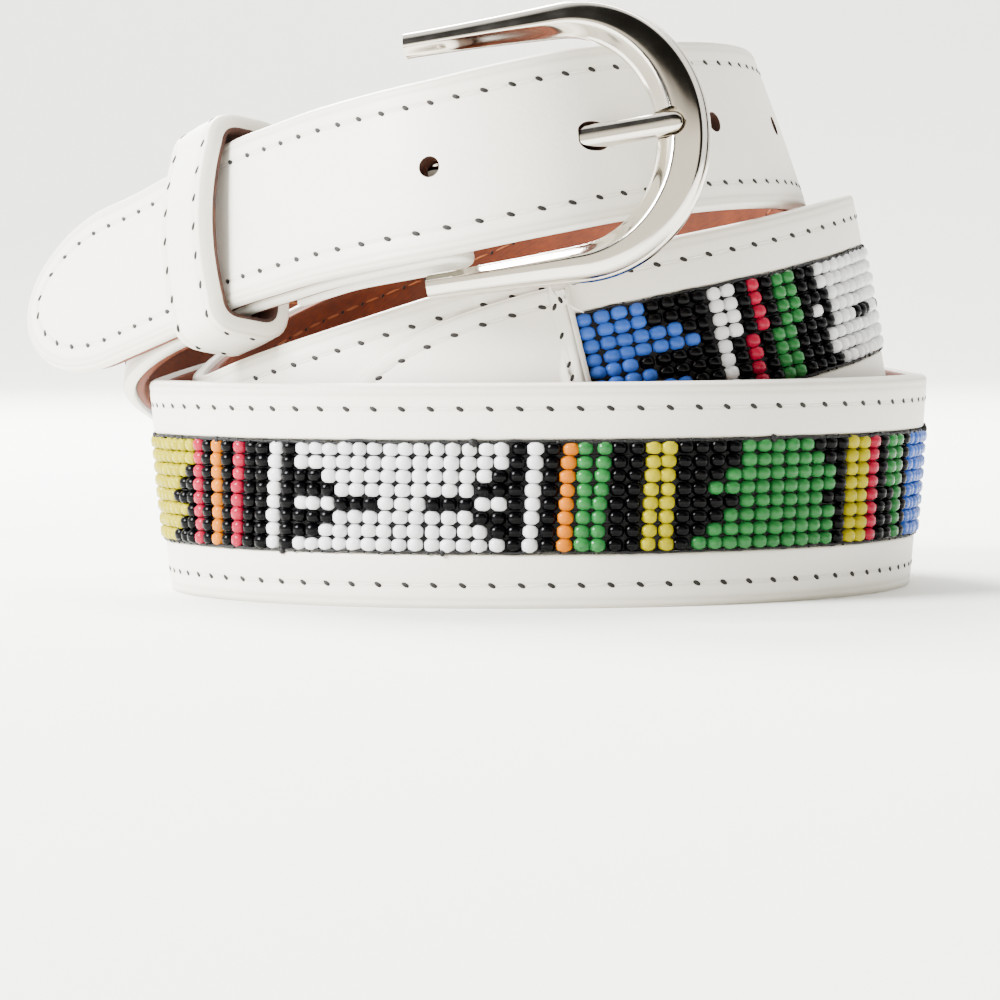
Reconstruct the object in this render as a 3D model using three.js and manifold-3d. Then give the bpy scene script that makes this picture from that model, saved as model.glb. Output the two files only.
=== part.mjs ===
// Leather belt with a woven bead inlay, fastened at its buckle and rolled into a coil of three turns
// that stands on its lower edge. Millimetres, +Z up, the buckle faces -Y and the floor is z = 0.

import * as THREE from 'three';
import { mergeVertices } from 'three/addons/utils/BufferGeometryUtils.js';
import Module from 'manifold-3d';

const wasm = await Module();
wasm.setup();

// Driving dimensions: leather
const STRAP_WIDTH = 33;
const END_WIDTH = 26; // of the billet and of the stretch at the buckle
const FACE_THICKNESS = 2.0;
const LINING_THICKNESS = 1.2;
const LAYER_GAP = 0.3; // between pieces that lie on each other
const LINING_INSET = 0.5; // the face leather is turned over the lining's edges
const LINING_LEAST_HALF = 0.3; // at the point of the tip
const EDGE_ROUND = 0.6;

// Driving dimensions: the coil
const COIL_RADIUS = 60; // to the outer face of the bottom turn
const TIP_LENGTH = 26; // rounded point of the billet
const TIP_SHARES = [0.02, 0.06, 0.13, 0.22, 0.35, 0.5, 0.7, 1]; // of its length, closer at the point
const TIP_FULLNESS = 2.4;
const TIP_ROUNDNESS = 0.62;
const TIP_BLUNT = 0.08; // half width of its very end, as a share of the billet's
const TAPER_START = 255; // from the tip, where the billet starts to widen
const TAPER_LENGTH = 60;
const BUCKLE_TAPER_START = 150; // from the bar, where the strap starts to narrow
const BUCKLE_TAPER_LENGTH = 55;
const SECTION_STEP = 6; // between the sections of every lofted layer, so that layers bend alike

// Driving dimensions: the beads
const BEAD_ROWS = 8;
const BEAD_ROW_PITCH = 2.0;
const BEAD_COLUMNS = 193;
const BEAD_COLUMN_PITCH = 2.5;
const BEADS_START = 438; // from the tip
const CHANNEL_DEPTH = 1.3;
const BAND_PROUD = 0.6;
const BAND_SIDE_GAP = 0.3;

// Driving dimensions: the two tabs that cover the ends of the bead strap
const TAB_WIDTH = 25.4;
const TAB_LENGTH = 37;
const TAB_THICKNESS = 1.2;
const TAB_COVER = 14; // how far the bead strap runs on below its tab
const TAB_SECTIONS = 14;
const TAB_FULLNESS = 2.6; // higher keeps the tab wide for longer
const TAB_POINT = 0.93; // share of its width that is lost at its point

// Driving dimensions: the holes
const HOLE_COUNT = 5;
const FIRST_HOLE = 100; // from the tip
const HOLE_PITCH = 25.4;
const HOLE_DIAMETER = 3.1;
const PRONG_HOLE = 1; // the prong is in the second hole
const HOLE_SIDES = 12;

// Driving dimensions: the keeper
const KEEPER_FROM_TIP = 52.5;
const KEEPER_WIDTH = 11.6;
const KEEPER_WALL = 2.8;
const KEEPER_EDGE_ROOM = 1.6; // beside the billet's edges
const KEEPER_FACE_ROOM = 0.6; // over the billet's face, at the keeper's corners
const KEEPER_BACK_ROOM = 0.6; // behind the lining of the strap below
const KEEPER_CROWN = 2.0; // its face is bowed outwards
const KEEPER_ROUND = 2.4; // radius of its opening's corners

// Driving dimensions: the buckle
const BUCKLE_HEIGHT = 40.1;
const BUCKLE_LENGTH = 43.4;
const RIM_AT_ARMS = 3.8;
const RIM_AT_END = 7.8;
const RIM_THICKNESS = 4.0;
const RIM_THICKNESS_AT_ARMS = 3.2;
const BAR_DIAMETER = 3.0;
const BAR_WALL = 1.6; // of the arms, behind the bar
const BUCKLE_BEND = 20.3; // length of the rim's round end
const RIM_ARM_SECTIONS = 5;
const RIM_BEND_SECTIONS = 18;
const RIM_SWELL = 1.7; // higher keeps the arms slender for longer
const BUCKLE_RISE = 2.7; // its middle sits above the strap's
const PRONG_REACH = 27.2; // along the billet, from the bar to the prong's hole
const PRONG_WIDTH = 3.6;
const PRONG_THICKNESS = 2.6;
const PRONG_EYE_WALL = 1.3;
const PRONG_PROUD = 0.2; // of the rim's face, in its notch there
const PRONG_PAST_SEAT = 0.6; // beyond the middle of the rim's round end
const EYE_SIDES = 16;
const BAR_SIDES = 12;
const FIT_GAP = 0.4; // between metal and what it passes
const FOLD_RETURN = 30; // the strap is folded round the bar and runs back
const FOLD_SLOT_LENGTH = 13; // for the prong's eye, on each side of the bar
const FOLD_START = 0.5; // before the bar
const FOLD_BEND_STEPS = 8;
const FOLD_BACK_STEPS = 5;
const FOLD_SETTLED = 0.6; // share of the return after which it lies on the lining
const LINING_STOP = 7.3; // the lining ends this far before the bar

const STRAP_THICKNESS = FACE_THICKNESS + LAYER_GAP + LINING_THICKNESS;
const STRAP_REST_GAP = 0.4;
const LAID_ON = STRAP_THICKNESS + STRAP_REST_GAP; // depth of one strap below the next at the keeper
const DEG = Math.PI / 180;

// The route of the strap's outer face, along its middle, from the billet's tip to the buckle.
// turn counts round the coil from its left side, with the front at .25; reach is a share of
// COIL_RADIUS, rise a share of STRAP_WIDTH, and lean tips the upper edge outwards, in degrees.
const ROUTE = [
  { turn: -0.018, reach: 1.365, rise: 1.32, lean: -14 },
  { turn: 0.003, reach: 1.21, rise: 1.39, lean: -13 },
  { turn: 0.025, reach: 1.097, rise: 1.47, lean: -12 },
  { turn: 0.049, reach: 1.023, rise: 1.55, lean: -11 },
  { turn: 0.075, reach: 0.973, rise: 1.635, lean: -10 },
  { turn: 0.102, reach: 0.958, rise: 1.715, lean: -10 },
  { turn: 0.129, reach: 0.967, rise: 1.77, lean: -10 },
  { turn: 0.153, reach: 0.992, rise: 1.82, lean: -10 },
  { turn: 0.177, reach: 1.026, rise: 1.865, lean: -10 },
  { turn: 0.198, reach: 1.052, rise: 1.905, lean: -10 },
  { turn: 0.217, reach: 1.063, rise: 1.945, lean: -11 },
  { turn: 0.235, reach: 1.058, rise: 1.99, lean: -12 },
  { turn: 0.254, reach: 1.035, rise: 2.035, lean: -13 },
  { turn: 0.275, reach: 0.985, rise: 2.08, lean: -14 },
  { turn: 0.3, reach: 0.918, rise: 2.11, lean: -16 },
  { turn: 0.33, reach: 0.838, rise: 2.135, lean: -17 },
  { turn: 0.37, reach: 0.758, rise: 2.15, lean: -18 },
  { turn: 0.425, reach: 0.683, rise: 2.15, lean: -19 },
  { turn: 0.49, reach: 0.645, rise: 2.12, lean: -19 },
  { turn: 0.5625, reach: 0.648, rise: 2.01, lean: -16 },
  { turn: 0.625, reach: 0.675, rise: 1.83, lean: -12 },
  { turn: 0.6875, reach: 0.71, rise: 1.61, lean: -8 },
  { turn: 0.75, reach: 0.75, rise: 1.37, lean: -4 },
  { turn: 0.8125, reach: 0.788, rise: 1.12, lean: -1 },
  { turn: 0.875, reach: 0.822, rise: 0.87, lean: 2 },
  { turn: 0.9375, reach: 0.852, rise: 0.65, lean: 5 },
  { turn: 1.0, reach: 0.872, rise: 0.52, lean: 6 },
  { turn: 1.0625, reach: 0.88, rise: 0.53, lean: 4 },
  { turn: 1.11, reach: 0.878, rise: 0.625, lean: 1 },
  { turn: 1.16, reach: 0.866, rise: 0.75, lean: -3 },
  { turn: 1.21, reach: 0.854, rise: 0.89, lean: -6 },
  { turn: 1.26, reach: 0.85, rise: 1.02, lean: -8 },
  { turn: 1.31, reach: 0.86, rise: 1.12, lean: -9 },
  { turn: 1.36, reach: 0.876, rise: 1.205, lean: -9 },
  { turn: 1.41, reach: 0.885, rise: 1.285, lean: -10 },
  { turn: 1.45, reach: 0.885, rise: 1.335, lean: -10 },
  { turn: 1.5, reach: 0.88, rise: 1.355, lean: -10 },
  { turn: 1.5625, reach: 0.875, rise: 1.31, lean: -8 },
  { turn: 1.625, reach: 0.877, rise: 1.21, lean: -6 },
  { turn: 1.6875, reach: 0.885, rise: 1.075, lean: -4 },
  { turn: 1.75, reach: 0.898, rise: 0.935, lean: -1 },
  { turn: 1.8125, reach: 0.915, rise: 0.79, lean: 2 },
  { turn: 1.875, reach: 0.937, rise: 0.655, lean: 5 },
  { turn: 1.9375, reach: 0.962, rise: 0.545, lean: 7 },
  { turn: 2.0, reach: 0.982, rise: 0.49, lean: 6 },
  { turn: 2.06, reach: 0.992, rise: 0.49, lean: 5 },
  { turn: 2.11, reach: 0.986, rise: 0.49, lean: 4 },
  { turn: 2.16, reach: 0.98, rise: 0.49, lean: 3 },
  { turn: 2.21, reach: 0.972, rise: 0.49, lean: 2 },
  { turn: 2.26, reach: 0.979, rise: 0.49, lean: 2 },
  { turn: 2.31, reach: 1.0, rise: 0.49, lean: 3 },
  { turn: 2.36, reach: 1.015, rise: 0.49, lean: 4 },
  { turn: 2.41, reach: 1.018, rise: 0.49, lean: 5 },
  { turn: 2.45, reach: 1.01, rise: 0.49, lean: 5 },
  { turn: 2.5, reach: 1.0, rise: 0.49, lean: 5 },
  { turn: 2.5625, reach: 1.0, rise: 0.52, lean: 4 },
  { turn: 2.625, reach: 1.008, rise: 0.565, lean: 3 },
  { turn: 2.6875, reach: 1.016, rise: 0.64, lean: 2 },
  { turn: 2.75, reach: 1.024, rise: 0.745, lean: 1 },
  { turn: 2.8125, reach: 1.034, rise: 0.87, lean: 0 },
  { turn: 2.875, reach: 1.05, rise: 1.0, lean: -2 },
  { turn: 2.9375, reach: 1.07, rise: 1.14, lean: -4 },
  { turn: 3.0, reach: 1.058, rise: 1.35, lean: -7 },
];
const LAID_FROM_TURN = 0.04; // from here the strap to the buckle lies under the billet
const FRONT_TURN = 0.25;

// A smooth curve through values at rising knots, with no bend at its two ends.
class NaturalSpline {
  constructor(knots, values) {
    this.knots = knots;
    this.values = values;
    this.bends = new Array(knots.length).fill(0);
    const sweep = new Array(knots.length).fill(0);
    for (let i = 1; i < knots.length - 1; i++) {
      const before = knots[i] - knots[i - 1];
      const after = knots[i + 1] - knots[i];
      const slopes = (values[i + 1] - values[i]) / after - (values[i] - values[i - 1]) / before;
      const pivot = 2 * (before + after) - before * sweep[i - 1];
      sweep[i] = after / pivot;
      this.bends[i] = (6 * slopes - before * this.bends[i - 1]) / pivot;
    }
    for (let i = knots.length - 2; i > 0; i--) this.bends[i] -= sweep[i] * this.bends[i + 1];
  }

  at(knot) {
    const last = this.knots.length - 2;
    let i = 0;
    while (i < last && this.knots[i + 1] < knot) i++;
    const span = this.knots[i + 1] - this.knots[i];
    const b = (knot - this.knots[i]) / span;
    const a = 1 - b;
    const lift = (a ** 3 - a) * this.bends[i] + (b ** 3 - b) * this.bends[i + 1];
    return a * this.values[i] + b * this.values[i + 1] + (lift * span * span) / 6;
  }
}

// A place on the strap: point(across, depth) goes up its width and down from its outer face.
class StrapFrame {
  constructor(origin, along, up) {
    this.origin = origin;
    this.along = along;
    this.up = up;
    this.out = new THREE.Vector3().crossVectors(along, up);
  }

  point(across, depth, ahead = 0) {
    return this.origin.clone()
      .addScaledVector(this.up, across)
      .addScaledVector(this.out, -depth)
      .addScaledVector(this.along, ahead);
  }

  matrix(ahead = 0) {
    const basis = new THREE.Matrix4().makeBasis(this.along, this.up, this.out);
    return basis.setPosition(this.point(0, 0, ahead));
  }
}

// The strap's route as a smooth track that is measured along its length.
class StrapTrack {
  constructor(stations) {
    const turns = stations.map((station) => station.turn);
    const spline = (key) => new NaturalSpline(turns, stations.map((station) => station[key]));
    this.x = spline('x');
    this.y = spline('y');
    this.z = spline('z');
    this.lean = spline('lean');
    this.turns = [];
    this.lengths = [];
    const steps = 24 * stations.length;
    let length = 0;
    for (let i = 0; i <= steps; i++) {
      const turn = THREE.MathUtils.lerp(turns[0], turns.at(-1), i / steps);
      if (i > 0) length += this.place(turn).distanceTo(this.place(this.turns.at(-1)));
      this.turns.push(turn);
      this.lengths.push(length);
    }
  }

  place(turn) {
    return new THREE.Vector3(this.x.at(turn), this.y.at(turn), this.z.at(turn));
  }

  turnAt(length) {
    let i = 1;
    while (i < this.lengths.length - 1 && this.lengths[i] < length) i++;
    const share = (length - this.lengths[i - 1]) / (this.lengths[i] - this.lengths[i - 1]);
    return THREE.MathUtils.lerp(this.turns[i - 1], this.turns[i], share);
  }

  lengthAt(turn) {
    let i = 1;
    while (i < this.turns.length - 1 && this.turns[i] < turn) i++;
    const share = (turn - this.turns[i - 1]) / (this.turns[i] - this.turns[i - 1]);
    return THREE.MathUtils.lerp(this.lengths[i - 1], this.lengths[i], share);
  }

  frameAtTurn(turn) {
    const step = 1e-4;
    const along = this.place(turn + step).sub(this.place(turn - step)).normalize();
    const outwards = new THREE.Vector3(along.y, -along.x, 0).normalize();
    const lean = this.lean.at(turn) * DEG;
    const up = new THREE.Vector3(0, 0, Math.cos(lean)).addScaledVector(outwards, Math.sin(lean));
    up.addScaledVector(along, -up.dot(along)).normalize();
    return new StrapFrame(this.place(turn), along, up);
  }

  frame(length) {
    return this.frameAtTurn(this.turnAt(length));
  }
}

function station(row) {
  const angle = Math.PI * (1 + 2 * row.turn);
  const reach = row.reach * COIL_RADIUS;
  return {
    turn: row.turn,
    x: reach * Math.cos(angle),
    y: reach * Math.sin(angle),
    z: row.rise * STRAP_WIDTH,
    lean: row.lean,
  };
}

// The stations of the strap to the buckle: the billet's own stations, one strap further in.
function laidStation(billetTrack, turn) {
  const frame = billetTrack.frameAtTurn(turn);
  const place = frame.point(0, LAID_ON);
  return { turn: turn + 3, x: place.x, y: place.y, z: place.z, lean: billetTrack.lean.at(turn) };
}

function buildTrack() {
  const coil = ROUTE.map(station);
  const billetTrack = new StrapTrack(coil);
  const laid = ROUTE.filter((row) => row.turn > LAID_FROM_TURN && row.turn < FRONT_TURN);
  return new StrapTrack([...coil, ...laid.map((row) => laidStation(billetTrack, row.turn))]);
}

const track = buildTrack();
const prongHoleAt = FIRST_HOLE + PRONG_HOLE * HOLE_PITCH;
const barOnBillet = prongHoleAt - PRONG_REACH;
const barAt = track.lengthAt(track.turnAt(barOnBillet) + 3);
const beadsEnd = BEADS_START + BEAD_COLUMNS * BEAD_COLUMN_PITCH;
const bandHalf = (BEAD_ROWS * BEAD_ROW_PITCH) / 2;

// Solids from rings of points

function geometryFromTriangles(vertices, triangles) {
  const geometry = new THREE.BufferGeometry();
  geometry.setAttribute('position', new THREE.Float32BufferAttribute(vertices, 3));
  geometry.setIndex(triangles);
  return geometry;
}

// Joins rings of equal count into one closed solid; outline is the rings' flat shape, for the ends.
// Each cell is parted from its lower early corner to its upper late one, so layers twist alike.
function loft(rings, outline) {
  const count = outline.length;
  const vertices = rings.flatMap((ring) => ring.flatMap((point) => point.toArray()));
  const triangles = [];
  for (let k = 0; k < rings.length - 1; k++) {
    for (let i = 0; i < count; i++) {
      const next = (i + 1) % count;
      const a = k * count + i;
      const b = k * count + next;
      const rising = outline[next][0] > outline[i][0];
      if (rising) triangles.push(a, b, b + count, a, b + count, a + count);
      else triangles.push(a, b, a + count, b, b + count, a + count);
    }
  }
  const last = (rings.length - 1) * count;
  const contour = outline.map(([u, v]) => new THREE.Vector2(u, v));
  for (const [a, b, c] of THREE.ShapeUtils.triangulateShape(contour, [])) {
    triangles.push(a, c, b, last + a, last + b, last + c);
  }
  return facingOut(geometryFromTriangles(vertices, triangles));
}

function facingOut(geometry) {
  const position = geometry.getAttribute('position');
  const index = geometry.getIndex().array;
  let volume = 0;
  const corner = (i) => new THREE.Vector3().fromBufferAttribute(position, index[i]);
  for (let i = 0; i < index.length; i += 3) {
    volume += corner(i).dot(corner(i + 1).cross(corner(i + 2)));
  }
  if (volume < 0) {
    for (let i = 0; i < index.length; i += 3) [index[i], index[i + 1]] = [index[i + 1], index[i]];
  }
  return geometry;
}

function solidOf(geometry) {
  const bare = geometry.clone();
  bare.deleteAttribute('normal');
  bare.deleteAttribute('uv');
  const merged = mergeVertices(bare, 1e-4);
  return new wasm.Manifold(new wasm.Mesh({
    numProp: 3,
    vertProperties: new Float32Array(merged.getAttribute('position').array),
    triVerts: new Uint32Array(merged.getIndex().array),
  }));
}

function geometryOf(solid) {
  const mesh = solid.getMesh();
  return geometryFromTriangles(Array.from(mesh.vertProperties), Array.from(mesh.triVerts));
}

// The two ends and the shared section places between them, all measured from the billet's tip.
function sectionsBetween(from, to) {
  const inner = [];
  for (const share of TIP_SHARES) inner.push(share * TIP_LENGTH);
  for (let at = TIP_LENGTH + SECTION_STEP; at < to; at += SECTION_STEP) inner.push(at);
  return [from, ...inner.filter((at) => at > from + 0.2 && at < to - 0.2), to];
}

// The edge of a strap that stands on the floor is flat along it.
function onFloor(point) {
  point.z = Math.max(point.z, 0);
  return point;
}

// Strap sections: lists of [across, depth], anticlockwise seen along the strap

function faceProfile(half) {
  const r = EDGE_ROUND;
  const k = r * (1 - Math.SQRT1_2);
  return [
    [-half, FACE_THICKNESS], [-half, r], [-half + k, k], [-half + r, 0],
    [half - r, 0], [half - k, k], [half, r], [half, FACE_THICKNESS],
  ];
}

function channelProfile(half) {
  const side = bandHalf + BAND_SIDE_GAP;
  const whole = faceProfile(half);
  const channel = [[-side, 0], [-side, CHANNEL_DEPTH], [side, CHANNEL_DEPTH], [side, 0]];
  return [...whole.slice(0, 4), ...channel, ...whole.slice(4)];
}

function layerProfile(half, top, bottom) {
  return [[-half, bottom], [-half, top], [half, top], [half, bottom]];
}

function strapHalf(at) {
  const wide = STRAP_WIDTH / 2;
  const narrow = END_WIDTH / 2;
  const billet = THREE.MathUtils.smoothstep(at, TAPER_START, TAPER_START + TAPER_LENGTH);
  const narrowing = barAt - BUCKLE_TAPER_START;
  const buckle = THREE.MathUtils.smoothstep(at, narrowing, narrowing + BUCKLE_TAPER_LENGTH);
  const full = narrow + (wide - narrow) * billet * (1 - buckle);
  if (at >= TIP_LENGTH) return full;
  const share = 1 - at / TIP_LENGTH;
  const pointed = (1 - share ** TIP_FULLNESS) ** TIP_ROUNDNESS;
  return full * pointed + narrow * TIP_BLUNT * share;
}

function strapSolid(from, to, profileAt) {
  const rings = sectionsBetween(from, to).map((at) => {
    const frame = track.frame(at);
    return profileAt(at).map(([across, depth]) => onFloor(frame.point(across, depth)));
  });
  return loft(rings, profileAt(from + TIP_LENGTH));
}

// Cutters for the holes

function rodBetween(start, end, radius, sides) {
  const axis = end.clone().sub(start);
  const rod = new THREE.CylinderGeometry(radius, radius, axis.length(), sides);
  const upright = new THREE.Vector3(0, 1, 0);
  rod.applyQuaternion(new THREE.Quaternion().setFromUnitVectors(upright, axis.normalize()));
  const middle = start.clone().add(end).multiplyScalar(0.5);
  return solidOf(rod.translate(middle.x, middle.y, middle.z));
}

// The buckle's own frame: its bar is behind the billet, and its prong is aimed at its hole

const armsBehindBar = BAR_DIAMETER / 2 + BAR_WALL;
const seatReach = BUCKLE_LENGTH - armsBehindBar - RIM_AT_END / 2;
const seatHeight = (RIM_THICKNESS - PRONG_THICKNESS) / 2 + PRONG_PROUD;
const prongTilt = Math.asin(seatHeight / seatReach);

function buckleFrame() {
  const onStrap = track.frame(barOnBillet);
  const barDepth = LAID_ON + FACE_THICKNESS + FIT_GAP + BAR_DIAMETER / 2;
  const bar = onStrap.point(BUCKLE_RISE, barDepth);
  const hole = track.frame(prongHoleAt).point(BUCKLE_RISE, 0);
  const aim = hole.sub(bar);
  aim.addScaledVector(onStrap.up, -aim.dot(onStrap.up));
  const along = aim.normalize().applyAxisAngle(onStrap.up, prongTilt);
  return new StrapFrame(bar, along, onStrap.up);
}

const buckle = buckleFrame();
const prongAim = buckle.along.clone().applyAxisAngle(buckle.up, -prongTilt);
const prongFrame = new StrapFrame(buckle.origin, prongAim, buckle.up);

function punched(geometry) {
  let solid = solidOf(geometry);
  for (let i = 0; i < HOLE_COUNT; i++) {
    const frame = track.frame(FIRST_HOLE + i * HOLE_PITCH);
    const radius = HOLE_DIAMETER / 2;
    const past = 2 * STRAP_THICKNESS;
    const cutter = i === PRONG_HOLE
      ? prongCutter()
      : rodBetween(frame.point(0, -past / 2), frame.point(0, past), radius, HOLE_SIDES);
    solid = solid.subtract(cutter);
  }
  return geometryOf(solid);
}

// The prong's hole is drawn out along the prong, which passes through it at a slant.
function prongCutter() {
  const half = PRONG_WIDTH / 2 + FIT_GAP;
  const tall = PRONG_THICKNESS / 2 + FIT_GAP;
  const box = new THREE.BoxGeometry(BUCKLE_LENGTH, 2 * half, 2 * tall);
  return solidOf(box.applyMatrix4(prongFrame.matrix(BUCKLE_LENGTH / 2)));
}

// Pieces

function billetStrap() {
  const to = BEADS_START - TAB_COVER;
  return punched(strapSolid(0, to, (at) => faceProfile(strapHalf(at))));
}

function beadStrap() {
  const from = BEADS_START - TAB_COVER + LAYER_GAP;
  const to = beadsEnd + TAB_COVER - LAYER_GAP;
  return strapSolid(from, to, (at) => channelProfile(strapHalf(at)));
}

function strapLining() {
  const top = FACE_THICKNESS + LAYER_GAP;
  const inset = (at) => Math.max(strapHalf(at) - LINING_INSET, LINING_LEAST_HALF);
  const profileAt = (at) => layerProfile(inset(at), top, top + LINING_THICKNESS);
  return punched(strapSolid(LINING_INSET, barAt - LINING_STOP, profileAt));
}

function beadBand() {
  const profile = layerProfile(bandHalf, -BAND_PROUD, CHANNEL_DEPTH - LAYER_GAP);
  return strapSolid(BEADS_START + LAYER_GAP, beadsEnd - LAYER_GAP, () => profile);
}

// The strap that is folded round the bar: out on top, round the bar and back below itself.
function buckleStrap() {
  const from = beadsEnd + TAB_COVER;
  const inner = BAR_DIAMETER / 2 + FIT_GAP;
  const outer = inner + FACE_THICKNESS;
  const rings = [];
  const addRing = (frame, half, top, bottom) => {
    rings.push(faceProfile(half).map(([across, depth]) => {
      const share = depth / FACE_THICKNESS;
      return onFloor(frame.point(across, THREE.MathUtils.lerp(top, bottom, share)));
    }));
  };
  for (const at of sectionsBetween(from, barAt - FOLD_START)) {
    addRing(track.frame(at), strapHalf(at), 0, FACE_THICKNESS);
  }
  const atBar = track.frame(barAt);
  for (let i = 0; i <= FOLD_BEND_STEPS; i++) {
    const angle = (Math.PI * i) / FOLD_BEND_STEPS;
    const reachOut = [Math.sin(angle), Math.cos(angle)];
    rings.push(faceProfile(END_WIDTH / 2).map(([across, depth]) => {
      const radius = THREE.MathUtils.lerp(outer, inner, depth / FACE_THICKNESS);
      return atBar.point(across, outer - radius * reachOut[1], radius * reachOut[0]);
    }));
  }
  for (let i = 1; i <= FOLD_BACK_STEPS; i++) {
    const share = i / FOLD_BACK_STEPS;
    const settled = THREE.MathUtils.smoothstep(share, 0, FOLD_SETTLED);
    const top = THREE.MathUtils.lerp(outer + inner, STRAP_THICKNESS + LAYER_GAP, settled);
    const frame = track.frame(barAt - FOLD_START - share * FOLD_RETURN);
    addRing(frame, END_WIDTH / 2, top + FACE_THICKNESS, top);
  }
  const slot = new THREE.BoxGeometry(2 * FOLD_SLOT_LENGTH, PRONG_WIDTH + 2 * FIT_GAP, 6 * outer);
  const slotFrame = new StrapFrame(atBar.point(BUCKLE_RISE, outer), atBar.along, atBar.up);
  const whole = solidOf(loft(rings, faceProfile(END_WIDTH / 2)));
  return geometryOf(whole.subtract(solidOf(slot.applyMatrix4(slotFrame.matrix()))));
}

// A tab is straight beside the beads and drawn out to a blunt round point away from them.
function tab(beadEdge, away) {
  const rings = [];
  for (let i = 0; i <= TAB_SECTIONS; i++) {
    const share = i / TAB_SECTIONS;
    const half = (TAB_WIDTH / 2) * (1 - TAB_POINT * share ** TAB_FULLNESS);
    const frame = track.frame(beadEdge + away * TAB_LENGTH * Math.sin((share * Math.PI) / 2));
    const profile = layerProfile(half, -LAYER_GAP - TAB_THICKNESS, -LAYER_GAP);
    rings.push(profile.map(([across, depth]) => frame.point(across, depth)));
  }
  return loft(rings, layerProfile(1, 0, 1));
}

function keeper() {
  const innerHalf = END_WIDTH / 2 + KEEPER_EDGE_ROOM;
  const front = KEEPER_FACE_ROOM;
  const back = -(LAID_ON + STRAP_THICKNESS + KEEPER_BACK_ROOM);
  const loop = (grow, shape) => {
    const half = innerHalf + grow;
    const near = front + grow;
    const far = back - grow;
    const round = KEEPER_ROUND + grow;
    const shoulder = near + 0.15 * KEEPER_CROWN;
    const brow = near + 1.85 * KEEPER_CROWN; // handle of the bow, twice as far out as its top
    shape.moveTo(-half + round, far);
    shape.lineTo(half - round, far);
    shape.quadraticCurveTo(half, far, half, far + round);
    shape.lineTo(half, near - round);
    shape.quadraticCurveTo(half, near, half - round, shoulder);
    shape.quadraticCurveTo(0, brow, -half + round, shoulder);
    shape.quadraticCurveTo(-half, near, -half, near - round);
    shape.lineTo(-half, far + round);
    shape.quadraticCurveTo(-half, far, -half + round, far);
    return shape;
  };
  const section = loop(KEEPER_WALL, new THREE.Shape());
  section.holes.push(loop(0, new THREE.Path()));
  const geometry = new THREE.ExtrudeGeometry(section, {
    depth: KEEPER_WIDTH, bevelEnabled: false, curveSegments: 5,
  });
  const frame = track.frame(KEEPER_FROM_TIP);
  // The section's first axis goes up the strap, its second outwards and its depth along the strap.
  const basis = new THREE.Matrix4().makeBasis(frame.up, frame.out, frame.along);
  basis.setPosition(frame.point(0, 0, -KEEPER_WIDTH / 2));
  return geometryOf(solidOf(geometry.applyMatrix4(basis)));
}

// The rim's middle line: up one arm, round the end and back down the other arm.
function rimLine() {
  const start = -armsBehindBar;
  const bendHeight = (BUCKLE_HEIGHT - RIM_AT_ARMS) / 2;
  const bendLength = BUCKLE_BEND - RIM_AT_END / 2;
  const bendStart = start + BUCKLE_LENGTH - BUCKLE_BEND;
  const arm = [];
  for (let i = 0; i < RIM_ARM_SECTIONS; i++) {
    arm.push(THREE.MathUtils.lerp(start, bendStart, i / RIM_ARM_SECTIONS));
  }
  const line = arm.map((ahead) => [ahead, bendHeight]);
  for (let i = 0; i <= RIM_BEND_SECTIONS; i++) {
    const angle = (Math.PI * i) / RIM_BEND_SECTIONS;
    line.push([bendStart + bendLength * Math.sin(angle), bendHeight * Math.cos(angle)]);
  }
  line.push(...arm.reverse().map((ahead) => [ahead, -bendHeight]));
  return line.map(([ahead, across]) => {
    const share = THREE.MathUtils.inverseLerp(start, bendStart + bendLength, ahead);
    const along = THREE.MathUtils.smoothstep(share, 0, 1);
    const width = THREE.MathUtils.lerp(RIM_AT_ARMS, RIM_AT_END, Math.max(share, 0) ** RIM_SWELL);
    const thickness = THREE.MathUtils.lerp(RIM_THICKNESS_AT_ARMS, RIM_THICKNESS, along);
    return { ahead, across, width, thickness };
  });
}

// The rim's section: a flat back, a crowned face and a bevel towards the opening.
function rimProfile(width, thickness) {
  const outline = [
    [-0.6, -1], [0.85, -1], [1, -0.3], [0.85, 0.55], [0.2, 1], [-0.55, 0.7], [-1, -0.1], [-1, -0.5],
  ];
  return outline.map(([side, lift]) => [(side * width) / 2, (lift * thickness) / 2]);
}

// The prong's tip lies in a notch in the rim's round end, open towards the rim's opening and face.
function prongNotch() {
  const from = seatReach - RIM_AT_END;
  const to = seatReach + PRONG_PAST_SEAT + FIT_GAP;
  const floor = -PRONG_THICKNESS / 2 - FIT_GAP;
  const top = RIM_THICKNESS;
  const box = new THREE.BoxGeometry(to - from, PRONG_WIDTH + 2 * FIT_GAP, top - floor);
  box.translate(0, 0, (top + floor) / 2);
  return solidOf(box.applyMatrix4(prongFrame.matrix((from + to) / 2)));
}

function buckleRim() {
  const line = rimLine();
  const rings = line.map((row, i) => {
    const before = line[Math.max(i - 1, 0)];
    const after = line[Math.min(i + 1, line.length - 1)];
    const heading = Math.atan2(after.across - before.across, after.ahead - before.ahead);
    const aheadOut = -Math.sin(heading);
    const acrossOut = Math.cos(heading);
    return rimProfile(row.width, row.thickness).map(([side, lift]) => buckle.point(
      row.across + side * acrossOut, -lift, row.ahead + side * aheadOut,
    ));
  });
  const rim = solidOf(loft(rings, rimProfile(1, 1))).subtract(prongNotch());
  const reach = (BUCKLE_HEIGHT - RIM_AT_ARMS) / 2;
  const bar = rodBetween(buckle.point(-reach, 0), buckle.point(reach, 0), BAR_DIAMETER / 2, BAR_SIDES);
  return geometryOf(rim.add(bar));
}

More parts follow.
